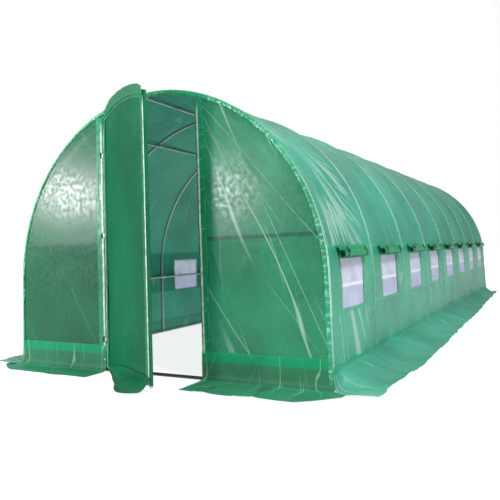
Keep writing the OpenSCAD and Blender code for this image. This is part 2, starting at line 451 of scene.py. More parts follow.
@dataclass(frozen=True)
class Shell:
    """The shape of the cover as it is stretched over the hoops.

    A point of it is given by its distance from the crown, which is positive to the right,
    and by its place along the tunnel.
    """

    survey: Survey
    sag_roof: float = 0.018
    sag_leg: float = 0.007
    tube_drop: float = 0.0055
    tube_reach: float = 0.017
    fan_height: float = 0.0085
    fold_height: float = 0.0042
    wall_folds: float = 0.0050

    def relief(self, s: Array, y: Array) -> Array:
        """How far the cloth stands out from a smooth tunnel.

        Args:
            s: Distance from the crown, positive to the right.
            y: Place along the tunnel.

        Returns:
            Heights, below zero between the hoops.
        """
        v = self.survey
        pitch = v.hoops[1] - v.hoops[0]
        t = (y - v.hoops[0]) / pitch
        bay = np.clip(np.floor(t), 0, len(v.hoops) - 2)
        f = np.clip(t - bay, 0.0, 1.0)
        away = np.minimum(f, 1.0 - f) * pitch
        low = smooth(v.quarter - 0.5, v.quarter + 0.25, np.abs(s))
        sag = 4 * f * (1 - f) * (self.sag_roof * (1 - low) + self.sag_leg * low)
        drop = self.tube_drop * (1 - bell(away, self.tube_reach))
        loose = smooth(0.015, 0.14, away)
        down = np.abs(s)
        shape = -sag - drop
        from_hoop = y - v.hoops[0]
        for origin, seed, share in ((0.15, 11, 1.0), (1.25, 17, 0.8)):
            turn = np.arctan2(from_hoop, down - origin)
            far = np.hypot(from_hoop, down - origin)
            swing = turn * 7.5 + np.where(s > 0, 0.0, 40.0)
            fold = (1 - np.minimum(np.abs(noise(swing, far * 1.1, seed)) * 2.4, 1)) ** 1.6
            fades = smooth(0.12, 0.5, far) * (1 - smooth(0.75, 1.0, from_hoop / pitch))
            fades = fades * np.where((down > origin) & (bay == 0), 1.0, 0.0) * (1 - 0.5 * low)
            shape = shape + self.fan_height * share * fold * fades * loose
        slant = creases(down, y, 24.0, 0.12, 0.9, 23) + 0.8 * creases(down, y, -18.0, 0.15, 0.8, 29)
        shape = shape + self.fold_height * slant * loose * (1 - 0.5 * low)
        below = smooth(v.quarter - 0.05, v.quarter + 0.5, down)
        upright = creases(down, y, 6.0, 0.085, 0.5, 31) + 0.6 * creases(down, y, -28.0, 0.12, 0.4, 37)
        shape = shape + self.wall_folds * upright * below * loose
        shape = shape + 0.0035 * noise(down / 0.45, y / 0.22, 41) * loose
        shape = shape * smooth(0.055, 0.115, v.quarter + v.leg - down)
        inside = smooth(v.front, v.hoops[0], y) * (1 - smooth(v.hoops[-1], v.rear, y))
        return shape * inside

    def place(self, s: Array, y: Array, lift: Array) -> Array:
        """Points on the cover.

        Args:
            s: Distance from the crown, positive to the right.
            y: Place along the tunnel.
            lift: Extra height over the cover's outer side.

        Returns:
            Points in the row frame.
        """
        v = self.survey
        angle = np.clip(s / v.radius, -math.pi / 2, math.pi / 2)
        drop = np.maximum(np.abs(s) - v.quarter, 0.0)
        out = v.radius + lift + self.relief(s, y)
        return stack(out * np.sin(angle), y, v.leg + out * np.cos(angle) - drop)


# ---------- finishes ----------


class Nodes:
    """A small helper that adds nodes to one material."""

    def __init__(self, name: str) -> None:
        """Starts a material with no nodes.

        Args:
            name: Name of the material.
        """
        self.material = bpy.data.materials.new(name)
        self.material.use_nodes = True
        self.tree = self.material.node_tree
        self.tree.nodes.clear()

    def add(self, kind: str, **values: object) -> bpy.types.Node:
        """Adds a node.

        Args:
            kind: The node's type, without its ShaderNode prefix.
            **values: Settings of the node, or values of the inputs of that name, where an
                underscore stands for a space.

        Returns:
            The new node.
        """
        node = self.tree.nodes.new("ShaderNode" + kind)
        for key, value in values.items():
            if hasattr(node, key):
                setattr(node, key, value)
            else:
                self.feed(node, key.replace("_", " "), value)
        return node

    def feed(self, node: bpy.types.Node, key: object, value: object) -> None:
        """Sets an input to a value, or links another node's output to it.

        Args:
            node: The node.
            key: The input's name or number.
            value: A value, or the output to link.
        """
        socket = node.inputs[key]
        if isinstance(value, bpy.types.NodeSocket):
            self.tree.links.new(value, socket)
        else:
            socket.default_value = value

    def math(self, operation: str, a: object, b: object = 0.0, clamp: bool = False) -> bpy.types.NodeSocket:
        """The result of a Math node.

        Args:
            operation: What the node works out.
            a: First number.
            b: Second number.
            clamp: Whether the result stays from 0 to 1.

        Returns:
            The result's socket.
        """
        node = self.add("Math", operation=operation, use_clamp=clamp)
        self.feed(node, 0, a)
        self.feed(node, 1, b)
        return node.outputs[0]

    def blend(self, share: object, a: object, b: object, how: str = "MIX") -> bpy.types.NodeSocket:
        """The colour that mixes two colours.

        Args:
            share: How much of the second colour is taken.
            a: First colour.
            b: Second colour.
            how: How they are mixed.

        Returns:
            The colour's socket.
        """
        node = self.add("Mix", data_type="RGBA", blend_type=how)
        self.feed(node, 0, share)
        self.feed(node, 6, a if not isinstance(a, tuple) else (*a, 1.0))
        self.feed(node, 7, b if not isinstance(b, tuple) else (*b, 1.0))
        return node.outputs[2]

    def ramp(
        self, value: object, low: float, high: float, a: float = 0.0, b: float = 1.0
    ) -> bpy.types.NodeSocket:
        """A value carried from one range to another, smoothly and within it.

        Args:
            value: The value to carry over.
            low: Value at which the result is a.
            high: Value at which the result is b.
            a: Result at the low value.
            b: Result at the high value.

        Returns:
            The result's socket.
        """
        node = self.add("MapRange", interpolation_type="SMOOTHSTEP")
        for key, number in enumerate((value, low, high, a, b)):
            self.feed(node, key, number)
        return node.outputs[0]

    def object_point(self) -> bpy.types.NodeSocket:
        """The point in the row frame."""
        return self.add("TexCoord").outputs["Object"]

    def cloth_point(self) -> bpy.types.NodeSocket:
        """The point on the flat cloth, in metres."""
        return self.add("UVMap", uv_map="Cloth").outputs[0]

    def finish(self, shader: bpy.types.NodeSocket) -> bpy.types.Material:
        """Joins the shader to the output and returns the material.

        Args:
            shader: The shader.

        Returns:
            The finished material.
        """
        out = self.add("OutputMaterial")
        self.tree.links.new(shader, out.inputs["Surface"])
        return self.material


@dataclass(frozen=True)
class Folds:
    """A family of fine creases drawn on the cloth as bumps, with painted highlights along their crests.

    Args:
        angle: Their direction from the cloth's first axis, in degrees.
        gap: Usual distance between them.
        run: Usual length of one.
        share: How strong the painted highlight along their crests is.
        seed: Which pattern.
        fan: If not zero, they spread like a fan from this far down the first hoop.
        wide: Half the width of one.
    """

    angle: float
    gap: float
    run: float
    share: float
    seed: float
    fan: float = 0.0
    wide: float = 0.0065


@dataclass(frozen=True)
class Belt:
    """A level band of the cloth with a tint: the colour of a seam, or painted shade such as a bar's shadow.

    Args:
        low: Height where it starts.
        high: Height where it ends.
        tint: Its colour.
        share: How much of that colour it takes.
    """

    low: float
    high: float
    tint: Colour
    share: float


@dataclass(frozen=True)
class Film:
    """Woven tape laminated between two clear green films.

    Args:
        name: The material's name.
        body: Colour where light falls on it.
        glow: Colour of light that comes through it.
        through: Share of light and sight that passes each side of the sheet.
        scatter: Share of the rest that is spread to the far side.
        gloss: Roughness of the film.
        shine: Strength of its reflections.
        crumple: Depth of the fine creases, in metres.
        hoops: First hoop's place and the hoops' pitch, if pale highlights are painted on the cloth over the
            hoops.
        folds: Its creases.
        belts: Its stripes.
        gather: How strongly it is puckered along its second axis, with painted highlights on the pleats and
            painted shade between them.
        highlight_stripe: Where on the cloth's first axis a pale painted highlight runs along the tube inside,
            half the highlight's width and the height where it ends.
        mirrored: Whether its creases are mirrored about the middle of the tunnel.
        weave: Distance between two tapes.
    """

    name: str
    body: Colour
    glow: Colour
    through: float = 0.34
    scatter: float = 0.34
    gloss: float = 0.30
    shine: float = 0.45
    crumple: float = 0.0022
    hoops: tuple[float, float] = (0.0, 0.0)
    folds: tuple[Folds, ...] = ()
    belts: tuple[Belt, ...] = ()
    gather: float = 0.0
    highlight_stripe: tuple[float, float, float] = (0.0, 0.0, 0.0)
    mirrored: bool = True
    weave: float = 0.0042

    def material(self) -> bpy.types.Material:
        """Builds the material.

        Returns:
            The material.
        """
        n = Nodes(self.name)
        cloth = n.add("SeparateXYZ", Vector=n.cloth_point())
        u, v = cloth.outputs[0], cloth.outputs[1]
        if self.mirrored:
            u = n.math("ABSOLUTE", u)
        point = n.object_point()
        place = n.add("SeparateXYZ", Vector=point)
        rate = 2 * math.pi / self.weave
        warp = n.math("SINE", n.math("MULTIPLY", cloth.outputs[0], rate))
        weft = n.math("SINE", n.math("MULTIPLY", v, rate))
        tapes = n.math("MAXIMUM", warp, weft)
        over = n.ramp(tapes, -0.2, 0.8)
        patchy = n.add("TexNoise", Vector=point, Scale=1.6, Detail=4.0, Roughness=0.55)
        fine = n.add("TexNoise", Vector=point, Scale=26.0, Detail=2.0, Roughness=0.4)
        tone = n.ramp(patchy.outputs[0], 0.3, 0.7, 0.82, 1.16)
        # pale is the colour of the painted highlights on crease crests and pleats.
        pale = (0.62, 0.90, 0.80)
        body = n.blend(1.0, self.body, tone, "MULTIPLY")
        glow = n.blend(1.0, self.glow, tone, "MULTIPLY")
        for belt in self.belts:
            inside = n.math(
                "MULTIPLY",
                n.math("GREATER_THAN", place.outputs[2], belt.low),
                n.math("LESS_THAN", place.outputs[2], belt.high),
            )
            body = n.blend(n.math("MULTIPLY", inside, belt.share), body, belt.tint)
        height = n.math("MULTIPLY", fine.outputs[0], 0.5)
        height = n.math("ADD", height, n.math("MULTIPLY", over, 0.012))
        # Each fold family adds bump and paints a pale highlight along its crests.
        for family in self.folds:
            crest = self._crest(n, family, u, v)
            body = n.blend(n.math("MULTIPLY", crest, family.share), body, pale)
            height = n.math("ADD", height, n.math("MULTIPLY", crest, 0.8))
        if self.gather:
            pleat = n.add("TexNoise", Vector=self._scaled(n, u, v, 14.0, 46.0, 3.0), Scale=1.0, Detail=2.0)
            # Painted highlight on the crests of the pleats and painted shade in their hollows.
            light = n.ramp(pleat.outputs[0], 0.54, 0.68)
            dark = n.ramp(pleat.outputs[0], 0.46, 0.34)
            body = n.blend(n.math("MULTIPLY", light, self.gather), body, pale)
            body = n.blend(n.math("MULTIPLY", dark, self.gather), body, tuple(0.35 * c for c in self.body))
            height = n.math("ADD", height, n.math("MULTIPLY", pleat.outputs[0], 1.5 * self.gather))
        # Painted highlight: pale lines over each hoop, strongest at middle heights and fainter low down and
        # near the crown, with a wider one over the first hoop, broken up by noise.
        if self.hoops[1] > 0:
            lap = n.math("PINGPONG", n.math("SUBTRACT", place.outputs[1], self.hoops[0]), self.hoops[1] / 2)
            highlight_breakup = n.ramp(fine.outputs[0], 0.30, 0.60, 0.70, 1.0)
            high = n.math(
                "MULTIPLY", n.ramp(place.outputs[2], 0.75, 1.15, 0.18, 0.85),
                n.ramp(place.outputs[2], 1.6, 2.1, 1.0, 0.25),
            )
            painted_highlight = n.math("MULTIPLY", n.ramp(lap, 0.007, 0.021, 1.0, 0.0), high)
            first = n.math("ABSOLUTE", n.math("SUBTRACT", place.outputs[1], self.hoops[0] + 0.010))
            painted_highlight = n.math("MAXIMUM", painted_highlight, n.ramp(first, 0.022, 0.036, 1.0, 0.0))
            body = n.blend(n.math("MULTIPLY", painted_highlight, highlight_breakup), body, (0.72, 1.0, 0.92))
        # Painted highlight: a pale line along the tube inside the hem, up to a given height.
        if self.highlight_stripe[1] > 0:
            off = n.math("ABSOLUTE", n.math("SUBTRACT", cloth.outputs[0], self.highlight_stripe[0]))
            painted_highlight = n.ramp(off, 0.4 * self.highlight_stripe[1], self.highlight_stripe[1], 1.0, 0.0)
            painted_highlight = n.math("MULTIPLY", painted_highlight, n.ramp(place.outputs[2], self.highlight_stripe[2], self.highlight_stripe[2] - 0.1))
            highlight_breakup = n.ramp(fine.outputs[0], 0.3, 0.6, 0.6, 1.0)
            body = n.blend(n.math("MULTIPLY", painted_highlight, highlight_breakup), body, (0.86, 1.0, 0.94))
        body = n.blend(n.math("MULTIPLY", over, 0.05), body, tuple(0.6 * c for c in self.body))
        dusty = n.ramp(place.outputs[2], 0.0, 0.08, 0.14, 0.0)
        body = n.blend(n.math("MULTIPLY", dusty, fine.outputs[0]), body, (0.42, 0.45, 0.38))
        bump = n.add("Bump", Strength=0.7, Distance=self.crumple, Height=height)
        rough = n.ramp(fine.outputs[0], 0.3, 0.7, self.gloss - 0.06, self.gloss + 0.08)
        skin = n.add("BsdfPrincipled", Base_Color=body, Roughness=rough, Normal=bump.outputs[0])
        skin.inputs["IOR"].default_value = 1.5
        skin.inputs["Specular IOR Level"].default_value = self.shine
        spread = n.add("BsdfTranslucent", Color=glow, Normal=bump.outputs[0])
        both = n.add("MixShader", Fac=self.scatter)
        n.feed(both, 1, skin.outputs[0])
        n.feed(both, 2, spread.outputs[0])
        open_ = n.add("BsdfTransparent", Color=(*[0.20 + 0.95 * c for c in self.glow], 1.0))
        gap = n.ramp(tapes, -0.6, 0.6, self.through + 0.02, self.through - 0.02)
        mixed = n.add("MixShader", Fac=gap)
        n.feed(mixed, 1, both.outputs[0])
        n.feed(mixed, 2, open_.outputs[0])
        return n.finish(mixed.outputs[0])

    @staticmethod
    def _scaled(n: Nodes, u: object, v: object, a: float, b: float, seed: float) -> bpy.types.NodeSocket:
        """A vector of two stretched coordinates and a seed.

        Args:
            n: The material's nodes.
            u: First coordinate.
            v: Second coordinate.
            a: Stretch of the first.
            b: Stretch of the second.
            seed: The third coordinate.

        Returns:
            The vector's socket.
        """
        vector = n.add("CombineXYZ")
        n.feed(vector, 0, n.math("MULTIPLY", u, a))
        n.feed(vector, 1, n.math("MULTIPLY", v, b))
        n.feed(vector, 2, seed)
        return vector.outputs[0]

    def _crest(self, n: Nodes, family: Folds, u: object, v: object) -> bpy.types.NodeSocket:
        """How near each point is to the crest of one of a family's folds, from 0 to 1."""
        draw = self._fan_crest if family.fan else self._lane_crest
        return draw(n, family, u, v)

    def _fan_crest(self, n: Nodes, family: Folds, u: object, v: object) -> bpy.types.NodeSocket:
        """Crests of folds that spread like a fan from one place on the first hoop.

        Args:
            n: The material's nodes.
            family: The folds.
            u: Distance from the crown.
            v: Place along the tunnel.

        Returns:
            The socket of a value from 0 to 1.
        """
        down = n.math("SUBTRACT", u, family.fan)
        back = n.math("SUBTRACT", v, self.hoops[0] - 0.08)
        squares = n.math("ADD", n.math("MULTIPLY", down, down), n.math("MULTIPLY", back, back))
        far = n.math("SQRT", squares)
        turn = n.math("ARCTAN2", back, down)
        rays = self._scaled(n, far, turn, 1 / family.run, 1 / family.gap, family.seed)
        zone = n.math(
            "MULTIPLY", n.ramp(back, self.hoops[1] * 1.04, self.hoops[1] * 0.8),
            n.ramp(far, 0.10, 0.45),
        )
        zone = n.math("MULTIPLY", zone, n.ramp(turn, 1.45, 1.0))
        wave = n.add("TexNoise", Vector=rays, Scale=1.0, Detail=1.0, Roughness=0.4)
        line = n.math("ABSOLUTE", n.math("SUBTRACT", wave.outputs[0], 0.5))
        crest = n.ramp(line, 0.055, 0.0)
        spots = self._scaled(n, v, u, 1.3, 1.1, family.seed + 9.0)
        where = n.add("TexNoise", Vector=spots, Scale=1.0, Detail=2.0)
        crest = n.math("MULTIPLY", crest, n.ramp(where.outputs[0], 0.46, 0.56))
        return n.math("MULTIPLY", crest, zone)

    def _lane_crest(self, n: Nodes, family: Folds, u: object, v: object) -> bpy.types.NodeSocket:
        """Crests of folds that run side by side, each seen along a part of its lane.

        Args:
            n: The material's nodes.
            family: The folds.
            u: First coordinate over the cloth.
            v: Second coordinate over the cloth.

        Returns:
            The socket of a value from 0 to 1.
        """
        c, s = math.cos(math.radians(family.angle)), math.sin(math.radians(family.angle))
        along = n.math("ADD", n.math("MULTIPLY", u, c), n.math("MULTIPLY", v, s))
        across = n.math("SUBTRACT", n.math("MULTIPLY", v, c), n.math("MULTIPLY", u, s))
        sway = self._scaled(n, along, across, 0.7 / family.run, 0.8 / family.gap, family.seed)
        bent = n.add("TexNoise", Vector=sway, Scale=1.0, Detail=0.0).outputs[0]
        lane = n.math("ADD", n.math("DIVIDE", across, family.gap), n.math("MULTIPLY", bent, 2.4))
        number = n.math("FLOOR", lane)
        off = n.math("ABSOLUTE", n.math("SUBTRACT", n.math("SUBTRACT", lane, number), 0.5))
        seen = self._scaled(n, along, number, 1 / family.run, 7.31, family.seed + 4.0)
        seen = n.add("TexNoise", Vector=seen, Scale=1.0, Detail=0.0).outputs[0]
        crest = n.ramp(off, family.wide / family.gap, 0.0)
        return n.math("MULTIPLY", crest, n.ramp(seen, 0.47, 0.60))


@dataclass(frozen=True)
class Steel:
    """Galvanised or painted tube."""

    name: str
    colour: Colour
    dark: Colour
    rough: float = 0.38
    metallic: float = 0.85

    def material(self) -> bpy.types.Material:
        """Builds the material.

        Returns:
            The material.
        """
        n = Nodes(self.name)
        point = n.object_point()
        flakes = n.add("TexVoronoi", Vector=point, Scale=95.0)
        cloud = n.add("TexNoise", Vector=point, Scale=7.0, Detail=5.0, Roughness=0.6)
        drawn = n.add("TexNoise", Vector=point, Scale=160.0, Detail=3.0)
        spangle = n.ramp(flakes.outputs["Distance"], 0.0, 0.7, 0.0, 0.5)
        stain = n.ramp(cloud.outputs[0], 0.45, 0.75)
        colour = n.blend(spangle, self.colour, tuple(0.82 * c for c in self.colour))
        colour = n.blend(n.math("MULTIPLY", stain, 0.6), colour, self.dark)
        rough = n.ramp(drawn.outputs[0], 0.3, 0.7, self.rough - 0.08, self.rough + 0.12)
        bump = n.add("Bump", Strength=0.35, Distance=0.0006, Height=drawn.outputs[0])
        shader = n.add("BsdfPrincipled", Base_Color=colour, Roughness=rough, Normal=bump.outputs[0])
        shader.inputs["Metallic"].default_value = self.metallic
        return n.finish(shader.outputs[0])


@dataclass(frozen=True)
class Moulded:
    """Moulded plastic with a fine grain."""

    name: str
    colour: Colour
    rough: float = 0.45

    def material(self) -> bpy.types.Material:
        """Builds the material.

        Returns:
            The material.
        """
        n = Nodes(self.name)
        point = n.object_point()
        grain = n.add("TexNoise", Vector=point, Scale=420.0, Detail=2.0)
        cloud = n.add("TexNoise", Vector=point, Scale=18.0, Detail=4.0)
        tone = n.ramp(cloud.outputs[0], 0.3, 0.7, 0.85, 1.1)
        colour = n.blend(1.0, self.colour, tone, "MULTIPLY")
        bump = n.add("Bump", Strength=0.3, Distance=0.0004, Height=grain.outputs[0])
        rough = n.ramp(cloud.outputs[0], 0.3, 0.7, self.rough - 0.06, self.rough + 0.1)
        shader = n.add("BsdfPrincipled", Base_Color=colour, Roughness=rough, Normal=bump.outputs[0])
        return n.finish(shader.outputs[0])


@dataclass(frozen=True)
class Netting:
    """Fine white insect mesh."""

    name: str
    colour: Colour
    bar: float
    pitch: float = 0.0030
    open_share: float = 0.30

    def material(self) -> bpy.types.Material:
        """Builds the material.

        Returns:
            The material.
        """
        n = Nodes(self.name)
        cloth = n.add("SeparateXYZ", Vector=n.cloth_point())
        rate = 2 * math.pi / self.pitch
        threads = [
            n.math("SINE", n.math("MULTIPLY", cloth.outputs[k], rate)) for k in (0, 1)
        ]
        web = n.math("MAXIMUM", threads[0], threads[1])
        cloud = n.add("TexNoise", Vector=n.object_point(), Scale=9.0, Detail=4.0)
        tone = n.ramp(cloud.outputs[0], 0.3, 0.7, 0.88, 1.06)
        colour = n.blend(1.0, self.colour, tone, "MULTIPLY")
        height = n.add("SeparateXYZ", Vector=n.object_point()).outputs[2]
        # Painted shade: below the side bar the mesh is tinted darker and bluer, for the darker inside seen
        # through it.
        lower = n.ramp(height, self.bar + 0.02, self.bar - 0.02, 0.0, 0.45)
        colour = n.blend(lower, colour, (0.42, 0.46, 0.74))
        # Painted highlight: a bright line where the side bar behind the mesh shows through.
        near = n.math("ABSOLUTE", n.math("SUBTRACT", height, self.bar))
        colour = n.blend(n.ramp(near, 0.016, 0.009, 0.0, 0.85), colour, (0.95, 0.96, 1.0))
        bump = n.add("Bump", Strength=0.4, Distance=0.0008, Height=web)
        thread = n.add("BsdfPrincipled", Base_Color=colour, Roughness=0.6, Normal=bump.outputs[0])
        glow = n.add("BsdfTranslucent", Color=colour)
        lit = n.add("MixShader", Fac=0.3)
        n.feed(lit, 1, thread.outputs[0])
        n.feed(lit, 2, glow.outputs[0])
        gap = n.ramp(web, -0.3, 0.7, self.open_share + 0.25, self.open_share - 0.2)
        mixed = n.add("MixShader", Fac=gap)
        n.feed(mixed, 1, lit.outputs[0])
        n.feed(mixed, 2, n.add("BsdfTransparent").outputs[0])
        return n.finish(mixed.outputs[0])


def dress(
    obj: bpy.types.Object,
    material: bpy.types.Material,
    body: str,
    stands_for: Sequence[str] = (),
) -> bpy.types.Object:
    """Gives a new piece its finish and its body, and hides the CAD nodes that it stands for.

    Args:
        obj: The piece.
        material: Its finish.
        body: The body that it rides on.
        stands_for: CAD nodes that it is shown in place of.

    Returns:
        The piece.
    """
    obj.data.materials.clear()
    obj.data.materials.append(material)
    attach(obj, body)
    if stands_for:
        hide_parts(*stands_for)
    log.info("%s: %d faces, on %s", obj.name, len(obj.data.polygons), body)
    return obj


# ---------- the cover along the tunnel ----------


@dataclass
class RoofCover:
    """The one long sheet over the hoops, with the windows cut through both sides."""

    survey: Survey
    shell: Shell
    wall: float = 0.0016
    foot: float = 0.006
    step_s: float = 0.031
    step_y: float = 0.042

    def y_lines(self) -> Array:
        """Grid lines along the tunnel, closer together over each hoop.

        Returns:
            The sorted places of the lines.
        """
        v = self.survey
        stops = [v.front, v.rear]
        for hoop in v.hoops:
            stops += [hoop + d for d in (-0.05, -0.03, -0.017, -0.008, 0.0, 0.008, 0.017, 0.03, 0.05)]
        for bay in v.bays:
            stops += [bay - v.window_half, bay + v.window_half]
        return lines([s for s in stops if v.front <= s <= v.rear], self.step_y)

    def window_mask(self, s: Array, y: Array) -> Array:
        """Which squares of a grid lie in a window.

        Args:
            s: Grid lines round the cover.
            y: Grid lines along the tunnel.

        Returns:
            True for each square in a window.
        """
        v = self.survey
        mid_s, mid_y = np.abs(s[1:] + s[:-1]) / 2, (y[1:] + y[:-1]) / 2
        rows = (mid_s > v.down_to(v.window_high)) & (mid_s < v.down_to(v.window_low))
        cols = np.zeros(len(mid_y), bool)
        for bay in v.bays:
            cols |= np.abs(mid_y - bay) < v.window_half
        return rows[:, None] & cols[None, :]

    def build(self, material: bpy.types.Material) -> bpy.types.Object:
        """Makes the sheet and dresses it.

        Args:
            material: Its finish.

        Returns:
            The piece.
        """
        v = self.survey
        levels = (self.foot, v.seam, v.window_low, v.window_high)
        marks = [0.0, v.quarter, *(v.down_to(level) for level in levels)]
        s = lines([m * side for m in marks for side in (-1, 1)], self.step_s)
        y = self.y_lines()
        grid_s, grid_y = np.meshgrid(s, y, indexing="ij")
        patch = Patch(
            self.shell.place(grid_s, grid_y, 0.0),
            np.stack([grid_s, grid_y], -1),
            (0, 0, 1),
            self.window_mask(s, y),
        )
        obj = sew("cover_sheet", [patch], self.wall)
        dress(obj, material, "tunnel", [
            "roof_cover_left_low", "roof_cover_left_high", "roof_cover_right_high",
            "roof_cover_right_low", "side_wall_left", "side_wall_right",
        ])
        return obj


@dataclass
class WindowBand:
    """The second layer of cloth that frames one side's windows."""

    survey: Survey
    shell: Shell
    side: Side
    wall: float = 0.0012
    lift: float = 0.0016
    hem: float = 0.0022

    def build(self, material: bpy.types.Material) -> bpy.types.Object:
        """Makes the band and dresses it.

        Args:
            material: Its finish.

        Returns:
            The piece.
        """
        v = self.survey
        roof = RoofCover(v, self.shell)
        low, high = v.down_to(v.window_low), v.down_to(v.window_high)
        top, bottom = v.down_to(v.band_top), low + 0.022
        trims = [top + 0.007, top + 0.014, high - 0.008, high, low, low + 0.008]
        s = lines([top, bottom, *trims], 0.03) * self.side.value
        y = roof.y_lines()
        grid_s, grid_y = np.meshgrid(s, y, indexing="ij")
        down = np.abs(grid_s)
        edge = bell(down - top - 0.007, 0.006) + bell(down - bottom + 0.006, 0.006)
        patch = Patch(
            self.shell.place(grid_s, grid_y, self.lift + self.wall + self.hem * edge),
            np.stack([grid_s, grid_y], -1),
            (self.side.value, 0, 0),
            roof.window_mask(s, y),
        )
        obj = sew(f"window_band_{self.side.word}", [patch], self.wall)
        dress(obj, material, "tunnel")
        return obj


@dataclass
class Screens:
    """The insect screens sewn inside one side's windows."""

    survey: Survey
    shell: Shell
    side: Side
    wall: float = 0.0008

    def build(self, material: bpy.types.Material) -> bpy.types.Object:
        """Makes the screens and dresses them.

        Args:
            material: Its finish.

        Returns:
            The piece.
        """
        v = self.survey
        patches = []
        s = lines([v.down_to(v.window_high + WINDOW_LAP), v.down_to(v.window_low - WINDOW_LAP)], 0.02)
        for bay in v.bays:
            half = v.window_half + WINDOW_LAP
            y = lines([bay - half, bay + half], 0.02)
            grid_s, grid_y = np.meshgrid(s * self.side.value, y, indexing="ij")
            slack = 0.0016 * (noise(grid_s / 0.5, grid_y / 0.05, 51) - 1.0)
            edge = np.minimum(np.abs(grid_y - bay + half), np.abs(grid_y - bay - half))
            points = self.shell.place(grid_s, grid_y, -0.0024 + slack * smooth(0.0, 0.05, edge))
            patches.append(Patch(points, np.stack([grid_s, grid_y], -1), (self.side.value, 0, 0)))
        obj = sew(f"insect_screens_{self.side.word}", patches, self.wall)
        dress(obj, material, "tunnel", [f"window_screens_{self.side.word}"])
        return obj


